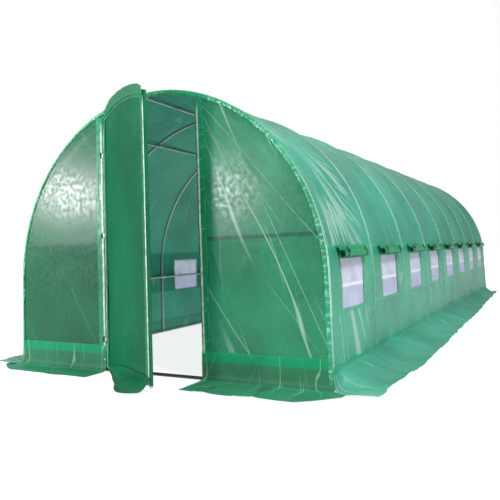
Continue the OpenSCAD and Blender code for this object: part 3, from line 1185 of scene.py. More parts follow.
@dataclass
class RolledFlaps:
    """The window flaps of one side, rolled up and tied under the seam above the windows."""

    survey: Survey
    shell: Shell
    side: Side
    wall: float = 0.0012
    turns: float = 2.6
    inner: float = 0.009
    tie_at: float = 0.205

    def section(self, seed: int) -> tuple[Array, Array]:
        """The spiral that the cloth follows, from its seam to its loose end.

        Args:
            seed: Which flap, for small differences.

        Returns:
            Distances out from the wall and heights, both from the roll's middle.
        """
        v = self.survey
        outer = v.roll_r - 0.002
        angle = np.linspace(0.0, self.turns * 2 * math.pi, 46)
        r = outer - (outer - self.inner) * angle / angle[-1]
        r = r * (1 + 0.03 * noise(angle * 1.7, 0.0 * angle + seed, 61))
        a = math.radians(128) - angle
        top = v.down_to(v.band_top) / v.radius
        seam_out = (v.radius + 0.004) * math.sin(min(top, math.pi / 2)) - v.roll_x
        lead = np.linspace(0.0, 1.0, 5)[:-1]
        end_out, end_up = r[0] * math.cos(a[0]), r[0] * math.sin(a[0])
        lead_out = seam_out + (end_out - seam_out) * lead
        lead_up = (v.band_top - v.roll_z - 0.004) + (end_up - v.band_top + v.roll_z + 0.004) * lead**1.3
        return np.concatenate([lead_out, r * np.cos(a)]), np.concatenate([lead_up, r * np.sin(a)])

    def build(self, cloth: bpy.types.Material, tie: bpy.types.Material) -> list[bpy.types.Object]:
        """Makes the flaps and their ties and dresses them.

        Args:
            cloth: The flaps' finish.
            tie: The ties' finish.

        Returns:
            The flaps and their ties.
        """
        v, sign = self.survey, self.side.value
        patches, straps = [], []
        for number, bay in enumerate(v.bays):
            out, up = self.section(number)
            length = length_along(out, up)
            ends = (bay - v.roll_half + 0.004, bay + v.roll_half - 0.004)
            y = lines([*ends, bay - self.tie_at, bay + self.tie_at], 0.034)
            pinch = 1 - 0.09 * (bell(y - bay - self.tie_at, 0.03) + bell(y - bay + self.tie_at, 0.03))
            sway = 0.0025 * noise(y / 0.16, 0.0 * y + number, 71)
            grid_out, grid_y = np.meshgrid(out, y, indexing="ij")
            grid_up = np.repeat(up[:, None], len(y), 1)
            held = smooth(0.0, 0.05, length)[:, None]
            shrink = 1 + (pinch[None, :] - 1) * held
            x = v.roll_x + grid_out * shrink
            z = v.roll_z + grid_up * shrink + sway[None, :] * held
            points = stack(sign * x, grid_y, z)
            flat = np.stack(np.meshgrid(length, y, indexing="ij"), -1)
            patches.append(Patch(points, flat, self._outward(points, sign)))
            for place in (-self.tie_at, self.tie_at):
                straps += self._tie(bay + place, number)
        flap = sew(f"rolled_flaps_{self.side.word}", patches, self.wall, 60)
        dress(flap, cloth, "tunnel", [f"window_rolls_{self.side.word}"])
        ties = sew(f"flap_ties_{self.side.word}", straps, 0.0016, 60)
        toggles = self._toggles()
        only(ties)
        toggles.select_set(True)
        bpy.ops.object.join()
        dress(ties, tie, "tunnel")
        return [flap, ties]

    def _outward(self, points: Array, sign: int) -> tuple[float, float, float]:
        """The way the spiral's outer side faces at its middle square.

        Args:
            points: The patch's points.
            sign: Which side, -1 or 1.

        Returns:
            The direction.
        """
        v = self.survey
        row, col = (points.shape[0] - 1) // 2, (points.shape[1] - 1) // 2
        p = points[row, col]
        return (p[0] - sign * v.roll_x, 0.0, p[2] - v.roll_z)

    def _tie(self, y: float, number: int) -> list[Patch]:
        """The webbing loop round the roll at one place.

        Args:
            y: Place along the tunnel.
            number: Which flap, for small differences.

        Returns:
            Its patch, in a list.
        """
        v, sign = self.survey, self.side.value
        r = (v.roll_r - 0.001) * 0.93 + 0.0005
        a = np.radians(np.linspace(118, -152, 26))
        out, up = r * np.cos(a), r * np.sin(a)
        tilt = 0.004 * math.sin(3.1 * number)
        width = np.array([-0.0065, 0.0, 0.0065])
        x = v.roll_x + out[:, None] + 0 * width[None, :]
        z = v.roll_z + up[:, None] + 0 * width[None, :]
        yy = y + width[None, :] + tilt * np.sin(a)[:, None]
        flat = np.stack(np.meshgrid(r * -a, width, indexing="ij"), -1)
        points = stack(sign * x, yy, z)
        return [Patch(points, flat, self._outward(points, sign))]

    def _toggles(self) -> bpy.types.Object:
        """The short bars that hold the webbing loops shut, all as one object.

        Returns:
            The joined object.
        """
        v, sign = self.survey, self.side.value
        bars: list[bpy.types.Object] = []
        for number, bay in enumerate(v.bays):
            for place in (-self.tie_at, self.tie_at):
                lean = math.radians(62 + 5 * math.sin(2.3 * number + place * 9))
                x = sign * (v.roll_x + (v.roll_r + 0.005) * math.cos(lean))
                z = v.roll_z + (v.roll_r + 0.005) * math.sin(lean)
                deselect()
                bpy.ops.mesh.primitive_cylinder_add(
                    vertices=10, radius=0.0062, depth=0.046, location=(x, bay + place, z),
                    rotation=(0.25 * math.sin(1.7 * number), sign * (lean + math.pi / 2), 0.0),
                )
                bar = bpy.context.active_object
                bpy.ops.object.mode_set(mode="EDIT")
                bpy.ops.mesh.select_all(action="SELECT")
                bpy.ops.mesh.bevel(offset=0.0016, segments=1, affect="EDGES")
                bpy.ops.object.mode_set(mode="OBJECT")
                bpy.ops.object.transform_apply(location=True, rotation=True, scale=True)
                bars.append(bar)
        only(bars[0])
        for bar in bars:
            bar.select_set(True)
        bpy.ops.object.join()
        joined = bpy.context.active_object
        joined.name = f"flap_toggles_{self.side.word}"
        bpy.ops.object.shade_smooth_by_angle(angle=math.radians(40))
        return joined


@dataclass
class SideSkirt:
    """The strip that hangs from one side's bottom seam and spreads over the ground."""

    survey: Survey
    shell: Shell
    side: Side
    wall: float = 0.0014
    ruck: float = 0.017
    frill: float = 0.014
    lead: float = 0.085

    def patch(self) -> Patch:
        """The skirt's grid of points, from its seam out over the ground.

        Returns:
            The grid, with its place on the flat cloth.
        """
        v, sign = self.survey, self.side.value
        y = lines([v.front, v.rear], 0.020)
        stops, widths = (0.0, 0.17, 0.51, 0.95, 1.0), (0.96, 1.08, 0.91, 0.60, 0.56)
        width = np.interp((y - v.front) / (v.rear - v.front), stops, widths)
        reach = (v.skirt_x - v.radius) * width[None, :]
        share = np.concatenate([[-0.045, 0.0, 0.012, 0.026], np.linspace(0.05, 1.0, 17)])[:, None]
        yy = np.repeat(y[None, :], len(share), 0)
        end = np.minimum(yy - v.front, v.rear - yy)
        tight = 1.8 + 40.0 * (1 - smooth(0.0, 0.20, end)) ** 2
        spread = np.clip(share, 0.0, 1.0)
        out = 0.004 + reach * spread
        up = (v.seam - 0.004) * (1 - spread) ** tight + 0.004 + np.where(share < 0, 0.014, 0.0)
        length = length_along(out, up)
        seed = 81 + sign
        fold = creases(yy, out, 86.0, 0.060, 0.35, seed) + 0.9 * creases(yy, out, 106.0, 0.085, 0.3, seed + 3)
        slope = smooth(0.02, 0.25, share)
        rise = self.ruck * fold * slope + 0.005 * (noise(yy / 0.15, out / 0.09, seed + 5) + 1) * slope
        rise = rise + 0.006 * (1 - smooth(0.0, 0.10, end)) * smooth(0.05, 0.3, share)
        bulge = 0.014 * noise(yy / 0.12, 0.0 * out + 3.0, seed + 9)
        bulge = bulge * smooth(0.0, 0.12, share) * (1 - smooth(0.3, 0.7, share))
        wander = noise(yy / 0.21, 0.0 * out, seed + 11) + 0.6 * noise(yy / 0.9, 0.0 * out, seed + 12)
        wave = self.frill * wander * smooth(0.4, 1.0, share) * smooth(0.0, 0.2, end)
        along = 0.012 * noise(yy / 0.2, share * 3, seed + 17)
        along = along * smooth(0.15, 1.0, share) * smooth(0.0, 0.1, end)
        ahead = np.where(yy - v.front < v.rear - yy, -1.0, 1.0) * self.lead * (1 - smooth(0.0, 0.16, end))
        along = along + ahead * smooth(0.02, 0.3, share) * (1 - 0.5 * share)
        follow = self.shell.relief(np.array([[v.down_to(v.seam)]]), yy) * (1 - smooth(0.02, 0.2, share))
        x = sign * (v.radius + out + wave + bulge + follow)
        points = stack(x, yy + along, np.maximum(up + rise, GROUND_GAP))
        return Patch(points, np.stack([length, yy], -1), (sign, 0, 1))

    def build_tape(self, material: bpy.types.Material) -> bpy.types.Object:
        """Makes the sewn strip over the skirt's seam and dresses it.

        Args:
            material: Its finish.

        Returns:
            The piece.
        """
        v, sign = self.survey, self.side.value
        s = lines([v.down_to(v.seam + up) for up in (0.022, 0.016, -0.008, -0.014)], 0.01)
        y = RoofCover(v, self.shell).y_lines()
        grid_s, grid_y = np.meshgrid(s, y, indexing="ij")
        pucker = 0.0016 * noise(grid_y / 0.03, grid_s / 0.03, 104 + sign)
        lift = 0.0062 + pucker + 0.001 * bell(grid_s - s.mean(), 0.008)
        points = self.shell.place(grid_s * sign, grid_y, lift)
        strip = Patch(points, np.stack([grid_s, grid_y], -1), (sign, 0, 0))
        seam = sew(f"seam_tape_{self.side.word}", [strip], 0.0015)
        dress(seam, material, "tunnel")
        return seam

    def build(self, material: bpy.types.Material, tape: bpy.types.Material) -> list[bpy.types.Object]:
        """Makes the skirt and its sewn seam and dresses them.

        Args:
            material: The skirt's finish.
            tape: The seam's finish.

        Returns:
            The skirt and the seam.
        """
        v, patch = self.survey, self.patch()
        skirt = sew(f"ground_skirt_{self.side.word}", [patch], self.wall)
        dress(skirt, material, "tunnel", [f"side_skirt_{self.side.word}"])
        return [skirt, self.build_tape(tape)]


# ---------- the two ends ----------


@dataclass
class EndPanel:
    """A flat panel of one end, from one edge of its opening out to the arch."""

    survey: Survey
    end: End
    name: str
    x_from: float
    x_to: float
    stands_for: tuple[str, ...]
    seed: int
    wall: float = 0.0014

    def relief(self, x: Array, z: Array) -> Array:
        """How far the panel stands out of its plane at each point.

        Args:
            x: Distance across the tunnel.
            z: Height.

        Returns:
            Heights over the plane, away from the inside.
        """
        v = self.survey
        rim = v.half_width(z, v.radius) - np.abs(x)
        rim = np.minimum(rim, v.radius - np.hypot(x, np.maximum(z - v.leg, 0.0)))
        on_bar = bell(z - v.bar_z, 0.09)
        on_post = bell(np.abs(x) - v.post_x, 0.018)
        firm = np.clip(on_bar + on_post + (1 - smooth(0.07, 0.14, rim)), 0.0, 1.0)
        sign = 1.0 if self.x_to > 0 else -1.0
        hang = creases(x * sign, z, -62.0, 0.11, 0.75, self.seed) * (0.5 + 0.5 * smooth(1.5, 0.5, z))
        pull = creases(x * sign, z, -38.0, 0.16, 0.8, self.seed + 3)
        around = np.arctan2(z - v.leg, np.abs(x)) * v.radius
        around = np.where(z < v.leg, z - v.leg, around)
        gather = noise(around / 0.021, rim / 0.3, self.seed + 5) * bell(rim - 0.045, 0.07)
        soft = noise(x / 0.35, z / 0.45, self.seed + 9) - 0.8
        shape = 0.0050 * hang + 0.0030 * pull + 0.0035 * soft + 0.002 * gather
        return shape * (1 - firm) * (1 - 0.7 * smooth(v.bar_z - 0.15, v.bar_z + 0.15, z))

    def build(self, material: bpy.types.Material) -> bpy.types.Object:
        """Makes the panel and dresses it.

        Args:
            material: Its finish.

        Returns:
            The piece.
        """
        v, sign = self.survey, self.end.value
        radius = v.radius - 0.001
        near = min(abs(self.x_from), abs(self.x_to)) if self.x_from * self.x_to > 0 else 0.0
        top = v.leg + math.sqrt(radius**2 - near**2)
        z = v.leg + np.sin(np.linspace(0.0, 1.0, 76) * math.asin(min((top - v.leg) / radius, 1.0))) * radius
        z = np.concatenate([lines([0.004, v.leg], 0.024)[:-1], z])
        width = v.half_width(z, radius)
        f = np.linspace(0.0, 1.0, 64 if near else 110)[None, :]
        if near:
            low = np.full(len(z), self.x_from if self.x_to > 0 else self.x_to)
            high = width if self.x_to > 0 else -width
        else:
            low, high = -width, width
        x = low[:, None] * (1 - f) + high[:, None] * f
        zz = np.repeat(z[:, None], f.shape[1], 1)
        y = v.plane(self.end) + sign * self.relief(x, zz)
        patch = Patch(stack(x, y, zz), np.stack([x, zz], -1), (0, sign, 0))
        obj = sew(self.name, [patch], self.wall)
        dress(obj, material, "tunnel", self.stands_for)
        return obj


@dataclass
class PostSleeve:
    """The hem of a front panel, doubled and wrapped round its door post."""

    survey: Survey
    side: Side
    band: float = 0.078
    back: float = 0.045
    wall: float = 0.0013
    clear: float = 0.0022

    def build(self, material: bpy.types.Material, hinges: Sequence[float]) -> bpy.types.Object:
        """Makes the sleeve and dresses it.

        Args:
            material: Its finish.
            hinges: Heights at which a hinge strap passes through the sleeve.

        Returns:
            The piece.
        """
        v, sign = self.survey, self.side.value
        r = v.tube + self.clear
        centre = v.hoops[0]
        a = np.radians(np.linspace(0, 180, 11))
        lap = np.linspace(self.band - 0.0125, 0.012, 6)
        out = np.concatenate([lap, -r * np.sin(a), [0.014, 0.03, self.back]])
        off = np.concatenate([np.full(6, -r), -r * np.cos(a), [r, r, r]])
        flat_y = v.front - 0.0042 - centre
        off[:6] = np.minimum(off[:6], flat_y)
        off[6] = min(off[6], flat_y)
        length = length_along(out, off)
        top = v.leg + math.sqrt((v.radius - 0.035) ** 2 - (v.post_x + 0.02) ** 2)
        marks = [0.03, top]
        for z in hinges:
            marks += [z - STRAP_GAP, z + STRAP_GAP]
        z = lines(marks, 0.024)
        oo, zz = np.meshgrid(out, z, indexing="ij")
        ff = np.repeat(off[:, None], len(z), 1)
        ll = np.repeat(length[:, None], len(z), 1)
        seed = 121 + sign
        pucker = 0.0022 * noise(zz / 0.045, ll / 0.03, seed)
        pucker = pucker + 0.003 * creases(zz, ll, 20, 0.05, 0.25, seed + 3)
        pucker = pucker * smooth(0.0, 0.012, ll) + 0.0016 * bell(ll - 0.008, 0.004)
        front_face = (ll < self.band).astype(float)
        yy = centre + ff - np.maximum(pucker, -0.0006) * front_face
        xx = sign * (v.post_x + oo)
        mid_z = (z[1:] + z[:-1]) / 2
        holes = np.zeros((len(out) - 1, len(z) - 1), bool)
        for height in hinges:
            cut = np.abs(mid_z - height) < STRAP_GAP
            holes |= ((out[1:] + out[:-1]) / 2 < 0.022)[:, None] & cut[None, :]
        patch = Patch(stack(xx, yy, zz), np.stack([ll, zz], -1), (-sign, 0, 0), holes)
        obj = sew(f"post_sleeve_{self.side.word}", [patch], self.wall)
        dress(obj, material, "tunnel")
        return obj


@dataclass
class EndSkirt:
    """The strip along the foot of an end panel, which turns out over the ground."""

    survey: Survey
    end: End
    x_from: float
    x_to: float
    seed: int
    top: float = 0.215
    low: bool = False
    stretch: float = 1.0

    def patch(self) -> Patch:
        """The strip's grid of points.

        Returns:
            The grid, with its place on the flat cloth.
        """
        v, sign = self.survey, self.end.value
        reach = v.end_reach
        lying_at = (0.080, 0.112, 0.144, 0.176, 0.208, reach - 0.03, reach)
        across = np.array([
            (0.0030, self.top), (0.0040, self.top - 0.006), (0.0030, self.top - 0.014), (0.003, 0.14),
            (0.003, 0.10), (0.004, 0.065), (0.007, 0.036), (0.014, 0.018), (0.028, 0.008), (0.050, 0.004),
            *((far, 0.0035) for far in lying_at),
        ])
        out, up = across[:, 0][:, None], across[:, 1][:, None]
        length = length_along(across[:, 0], across[:, 1])
        x = lines([self.x_from, self.x_to], 0.02)
        xx = np.repeat(x[None, :], len(across), 0)
        calm = 0.35 if self.low else 1.0
        fold = creases(xx, out, 88.0, 0.07, 0.3, self.seed)
        fold = fold + 0.7 * creases(xx, out, 60.0, 0.1, 0.3, self.seed + 3)
        lie = smooth(0.008, 0.05, out)
        rise = calm * (0.010 * fold + 0.0025 * (noise(xx / 0.12, out / 0.08, self.seed + 5) + 1)) * lie
        wave = 0.010 * noise(xx / 0.17, 0 * out, self.seed + 7) * smooth(0.08, reach, out)
        belly = 0.004 * (noise(xx / 0.09, up / 0.1, self.seed + 11) + 0.9) * (1 - lie)
        belly = belly * smooth(0.0, 0.03, self.top - up)
        corner = smooth(v.radius - 0.20, v.radius + 0.02, np.abs(xx))
        lying = smooth(0.0, 0.08, out)
        pull = 1 + (self.stretch * (1 - 0.66 * corner) - 1) * lying
        spill = np.sign(xx) * (0.15 if self.low else 0.10)
        spill = spill * smooth(v.radius - 0.30, v.radius, np.abs(xx)) * lying
        y = v.plane(self.end) + sign * ((out + wave) * pull + belly)
        points = stack(xx + spill, y, np.maximum(up + rise, GROUND_GAP))
        return Patch(points, np.stack(np.meshgrid(length, x, indexing="ij"), -1), (0, sign, 1))


@dataclass
class GroundFlaps:
    """The strips along the foot of one end, as one piece."""

    strips: tuple[EndSkirt, ...]
    stands_for: str
    wall: float = 0.0014

    def build(self, name: str, material: bpy.types.Material) -> bpy.types.Object:
        """Makes the strips and dresses them.

        Args:
            name: The piece's name.
            material: Its finish.

        Returns:
            The piece.
        """
        patches = [strip.patch() for strip in self.strips]
        flap = sew(name, patches, self.wall)
        dress(flap, material, "tunnel", [self.stands_for])
        return flap


@dataclass
class Binding:
    """The gathered strip that joins an end panel to the long sheet, all round the arch."""

    survey: Survey
    end: End
    depth: float = 0.047
    lap: float = 0.004
    wall: float = 0.0014

    def build(self, material: bpy.types.Material) -> bpy.types.Object:
        """Makes the binding and dresses it.

        Args:
            material: Its finish.

        Returns:
            The piece.
        """
        v, sign = self.survey, self.end.value
        low = v.down_to(0.012)
        s = lines([-low, low], 0.0085)
        section = np.array([
            (0.0024, -self.lap), (0.0030, -self.lap * 0.6), (0.0034, -0.004), (0.0030, 0.0030),
            (0.0005, 0.0062), (-0.005, 0.0066), (-0.012, 0.0052), (-0.019, 0.0060), (-0.027, 0.0056),
            (-0.035, 0.0050), (-0.042, 0.0044), (-self.depth, 0.0036),
        ])
        length = length_along(section[:, 0], section[:, 1])[:, None]
        ss = np.repeat(s[None, :], len(section), 0)
        narrow = 0.30 + 0.20 * smooth(-0.2, 0.6, s) + 0.36 * bell(s - 0.15, 0.55)
        rise, out = section[:, 0][:, None], section[:, 1][:, None]
        rise = np.where(rise < -0.004, -0.004 + (rise + 0.004) * narrow[None, :], rise)
        seed = 141 + sign
        tight = noise(ss / 0.016 + 0.4 * noise(ss / 0.2, length / 0.02, seed), length / 0.05, seed + 1)
        loose = noise(ss / 0.06, length / 0.03, seed + 2)
        face = smooth(0.016, 0.028, length)
        ruffle = (0.0026 * tight + 0.0016 * loose) * (0.35 + 0.65 * face)
        frill = 0.0022 * noise(ss / 0.02, 0 * length, seed + 4) * smooth(0.045, 0.065, length)
        angle = np.clip(ss / v.radius, -math.pi / 2, math.pi / 2)
        drop = np.maximum(np.abs(ss) - v.quarter, 0.0)
        radius = v.radius + rise + np.maximum(ruffle, 0) * (1 - face) + frill
        y = v.plane(self.end) + sign * (out + (ruffle + 0.0012) * face)
        points = stack(radius * np.sin(angle), y, v.leg + radius * np.cos(angle) - drop)
        wide = length_along(rise, np.broadcast_to(out, rise.shape))
        patch = Patch(points, np.stack([wide, ss], -1), (0, sign, 0.4))
        obj = sew(f"end_binding_{self.end.word}", [patch], self.wall, 70)
        dress(obj, material, "tunnel", [f"{self.end.word}_welt"])
        return obj


# ---------- the door ----------


@dataclass
class Door:
    """The hinged leaf's cloth: its panel, its hem and its tail.

    It is made shut, with the hinge axis at the origin and the leaf along +X, and then turned
    to where the frame stands open.
    """

    survey: Survey
    wall: float = 0.0013
    hem_front: float = 0.050
    hem_back: float = 0.042
    clear: float = 0.0020
    tail_top: float = 0.105
    tail_reach: float = 0.195
    lip: float = 0.034
    box: tuple[Vector, Vector] = field(init=False)
    straps: list[float] = field(init=False)

    def __post_init__(self) -> None:
        """Measures the leaf's tubes as if the door were shut."""
        v = self.survey
        mesh = frame["nodes"]["door_frame"].data
        points = np.array([tuple(p.co) for p in mesh.vertices])
        points = moved(points - np.array([*v.hinge, 0.0]), v.open_angle, (0, 0, 0))
        self.box = (Vector(points.min(0)), Vector(points.max(0)))
        strap = np.array([p.co.z for p in frame["nodes"]["door_hinges"].data.vertices])
        heights = np.unique(np.round(strap, 3))
        groups = np.split(heights, np.where(np.diff(heights) > 0.1)[0] + 1)
        self.straps = [float(g.mean()) for g in groups]

    def hang(self, points: Array) -> Array:
        """Points of the shut leaf where the open door has them."""
        v = self.survey
        return moved(points, -v.open_angle, (*v.hinge, 0.0))

    @property
    def stiles(self) -> tuple[float, float]:
        """Where the two stiles' middles are along the leaf."""
        return self.box[0].x + self.survey.tube, self.box[1].x - self.survey.tube

    @property
    def bow(self) -> float:
        """The radius of the bow's middle line."""
        return self.box[1].z - self.survey.leg - self.survey.tube

    def head(self, along: Array, radius: float) -> Array:
        """Height of the arch of a given radius at places along the leaf."""
        v = self.survey
        return v.leg + np.sqrt(np.maximum(radius**2 - (along - v.post_x) ** 2, 0.0))

    def outward(self) -> tuple[float, float, float]:
        """The way the leaf's outer side faces."""
        a = -self.survey.open_angle
        return (math.sin(a), -math.cos(a), 0.0)

    def build_panel(self, material: bpy.types.Material) -> bpy.types.Object:
        """Makes the leaf's front sheet and dresses it.

        Args:
            material: Its finish.

        Returns:
            The piece.
        """
        v = self.survey
        low, high = self.box[0].x, self.box[1].x
        x = lines([low, high], 0.019)
        f = np.linspace(0.0, 1.0, 92)
        foot = 0.046
        xx = np.repeat(x[None, :], len(f), 0)
        zz = foot + (self.head(xx, self.bow + 0.006) - foot) * f[:, None]
        edge = np.minimum(xx - low, high - xx)
        edge = np.minimum(edge, self.head(xx, self.bow) - zz)
        free = smooth(0.02, 0.09, edge)
        on_bar = 1 - smooth(0.02, 0.07, np.abs(zz - v.bar_z))
        hang = creases(xx, zz, 86.0, 0.075, 0.9, 151) * 0.005 + creases(xx, zz, 66.0, 0.12, 0.6, 157) * 0.004
        belly = 0.006 * (noise(xx / 0.28, zz / 0.5, 163) - 0.6) - 0.004 * smooth(0.05, 0.3, edge)
        y = -(v.tube + 0.0018) - (hang + belly) * free * (1 - on_bar)
        points = self.hang(stack(xx, y, zz))
        patch = Patch(points, np.stack([xx, zz], -1), self.outward())
        obj = sew("door_sheet", [patch], self.wall)
        dress(obj, material, "door", ["door_cover"])
        return obj

    def build_hem(self, material: bpy.types.Material) -> bpy.types.Object:
        """Makes the sleeve round the leaf's stiles and bow and dresses it.

        Args:
            material: Its finish.

        Returns:
            The piece.
        """
        v = self.survey
        near, far = self.stiles
        bow = self.bow
        foot = 0.047
        lean_near = math.asin((v.post_x - near) / bow)
        lean_far = math.asin((far - v.post_x) / bow)
        marks = [foot, float(self.head(np.array(near), bow))]
        for z in self.straps:
            marks += [z - STRAP_GAP, z + STRAP_GAP]
        up = lines(marks, 0.026)
        lean = np.linspace(-lean_near, lean_far, 40)[1:-1]
        down = lines([foot, float(self.head(np.array(far), bow))], 0.026)[::-1]
        path = [(near, z, 1.0, 0.0) for z in up[:-1]]
        path += [self._corner(near, float(up[-1]), (1.0, 0.0), -lean_near)]
        for a in lean:
            c, s = math.cos(a), math.sin(a)
            path += [(v.post_x + bow * s, v.leg + bow * c, -s, -c)]
        path += [self._corner(far, float(down[0]), (-1.0, 0.0), lean_far)]
        path += [(far, z, -1.0, 0.0) for z in down[1:]]
        line = np.array(path)
        r = v.tube + self.clear
        a = np.radians(np.linspace(0, 180, 9))
        front, back = [self.hem_front, 0.038, 0.024, 0.011], [0.011, 0.026, self.hem_back]
        reach = np.concatenate([front, -r * np.sin(a), back])
        off = np.concatenate([[-r - 0.0018] * 4, -r * np.cos(a), [r, r, r]])
        off[4] = -r - 0.0012
        length = length_along(reach, off)
        run = length_along(line[:, 0], line[:, 1])
        ll, rr = np.meshgrid(length, run, indexing="ij")
        pucker = 0.0018 * noise(rr / 0.04, ll / 0.03, 171) + 0.0024 * creases(rr, ll, 14, 0.05, 0.3, 173)
        pucker = np.maximum(pucker, -0.0004) * (ll < self.hem_front + 0.006)
        pucker = pucker + 0.0015 * bell(ll - 0.007, 0.004)
        x = line[None, :, 0] + reach[:, None] * line[None, :, 2]
        z = line[None, :, 1] + reach[:, None] * line[None, :, 3]
        y = off[:, None] - pucker
        mid_run = (run[1:] + run[:-1]) / 2
        holes = np.zeros((len(length) - 1, len(run) - 1), bool)
        for height in self.straps:
            cut = (np.abs(mid_run - (height - foot)) < STRAP_GAP) & (mid_run < up[-1] - foot)
            holes |= ((reach[1:] + reach[:-1]) / 2 < 0.02)[:, None] & cut[None, :]
        patch = Patch(self.hang(stack(x, y, z)), np.stack([ll, rr], -1), (0, 0, 1), holes)
        obj = sew("door_hem", [patch], self.wall)
        dress(obj, material, "door")
        return obj

    @staticmethod
    def _corner(
        x: float, z: float, inward: tuple[float, float], lean: float
    ) -> tuple[float, float, float, float]:
        """The mitre where a stile's sleeve meets the bow's.

        Args:
            x: Place along the leaf.
            z: Height.
            inward: The stile's inward direction.
            lean: The bow's angle from the crown there, in radians.

        Returns:
            The place and the direction that both sleeves share, lengthened for the mitre.
        """
        a = Vector(inward)
        b = Vector((-math.sin(lean), -math.cos(lean)))
        mean = (a + b).normalized()
        grow = min(1.0 / max(mean.dot(a), 0.4), 1.8)
        return (x, z, mean.x * grow, mean.y * grow)

    def build_lip(self, material: bpy.types.Material) -> bpy.types.Object:
        """Makes the lip that stands up over the leaf's bow and laps the arch, and dresses it.

        Args:
            material: Its finish.

        Returns:
            The piece.
        """
        v = self.survey
        near, far = self.stiles
        first = math.asin((v.post_x - near - 0.075) / self.bow)
        last = math.asin((far + 0.008 - v.post_x) / self.bow)
        a = lines([-first, last], 0.012)[None, :]
        f = np.linspace(0.0, 1.0, 9)[:, None]
        share = (a + first) / (last + first)
        tall = self.lip * smooth(-0.02, 0.22, share) * (1 - 0.35 * smooth(0.9, 1.0, share))
        root = 0.026
        up = -root + (root + v.tube + 0.004 + tall) * f
        ahead = v.tube + self.clear + 0.0075 + 0.010 * smooth(0.3, 0.75, f)
        ahead = ahead + 0.0018 * noise(a / 0.03, f * 2, 195) * f
        radius = self.bow + up
        points = self.hang(stack(v.post_x + radius * np.sin(a), -ahead, v.leg + radius * np.cos(a)))
        length = (root + v.tube + 0.004 + self.lip) * f + 0 * a
        patch = Patch(points, np.stack([length, self.bow * a + 0 * f], -1), self.outward())
        obj = sew("door_lip", [patch], self.wall)
        dress(obj, material, "door")
        return obj

    def build_tail(self, material: bpy.types.Material) -> bpy.types.Object:
        """Makes the flap that trails from the leaf's foot and dresses it.

        Args:
            material: Its finish.

        Returns:
            The piece.
        """
        v = self.survey
        near, far = self.stiles
        start, end = near + 0.045, far + 0.010
        x = lines([start, end], 0.014)
        f = np.linspace(0.0, 1.0, 22)[:, None]
        xx = np.repeat(x[None, :], 22, 0)
        t = (xx - start) / (end - start)
        rounded = np.sqrt(np.clip(1 - (np.clip(t - 0.84, 0, 1) / 0.18) ** 2, 0.0, 1))
        widen = (0.05 + 0.95 * np.clip(t / 0.82, 0.0, 1.0) ** 1.25) * rounded
        reach = self.tail_reach * widen * f**1.2
        fold = creases(xx, f * 0.2, 80.0, 0.075, 0.3, 181) + 0.6 * noise(xx / 0.09, f * 1.5, 187)
        top = self.tail_top - 0.03 * (1 - smooth(0.0, 0.5, t))
        base = top - (top - 0.0175) * (1 - (1 - f) ** 1.8)
        rise = 0.010 * fold * smooth(0.15, 0.7, f) * widen
        hang = 0.010 * noise(xx / 0.14, 0 * f + 2.0, 191) * f * widen
        tuck = 0.0035 * bell(f - 0.22, 0.10) * smooth(0.0, 0.2, t)
        y = -(v.tube + 0.0050) - reach - hang + tuck
        z = np.maximum(base + rise, 0.0165 + 0.010 * (1 - smooth(0.1, 0.4, t)))
        length = length_along(reach, base)
        points = self.hang(stack(xx, y, z))
        patch = Patch(points, np.stack([length, xx], -1), (*self.outward()[:2], 1.0))
        obj = sew("door_tail", [patch], self.wall)
        dress(obj, material, "door", ["door_flap"])
        return obj


# ---------- the frame's own finishes ----------


@dataclass
class FrameFinishes:
    """Finishes of the tubes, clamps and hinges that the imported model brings."""

    tube: Steel = Steel("galvanised_tube", (0.50, 0.54, 0.54), (0.22, 0.25, 0.25))
    dark: Steel = Steel("painted_tube", (0.030, 0.040, 0.040), (0.09, 0.08, 0.07), 0.42, 0.2)
    strap: Steel = Steel("zinc_strap", (0.62, 0.64, 0.66), (0.35, 0.34, 0.30), 0.33)
    clip: Moulded = Moulded("pale_clip", (0.55, 0.60, 0.57))

    def apply(self) -> None:
        """Puts each finish on its nodes."""
        made = {
            "tube": self.tube.material(),
            "dark_tube": self.dark.material(),
            "strap": self.strap.material(),
            "clip": self.clip.material(),
        }
        for part in frame["record"]["subparts"]:
            if part["material_slot"] in made:
                node = frame["nodes"][part["node"]]
                node.data.materials.clear()
                node.data.materials.append(made[part["material_slot"]])
                for face in node.data.polygons:
                    face.material_index = 0
                log.info("%s: %s", part["node"], part["material_slot"])


# ---------- stage ----------


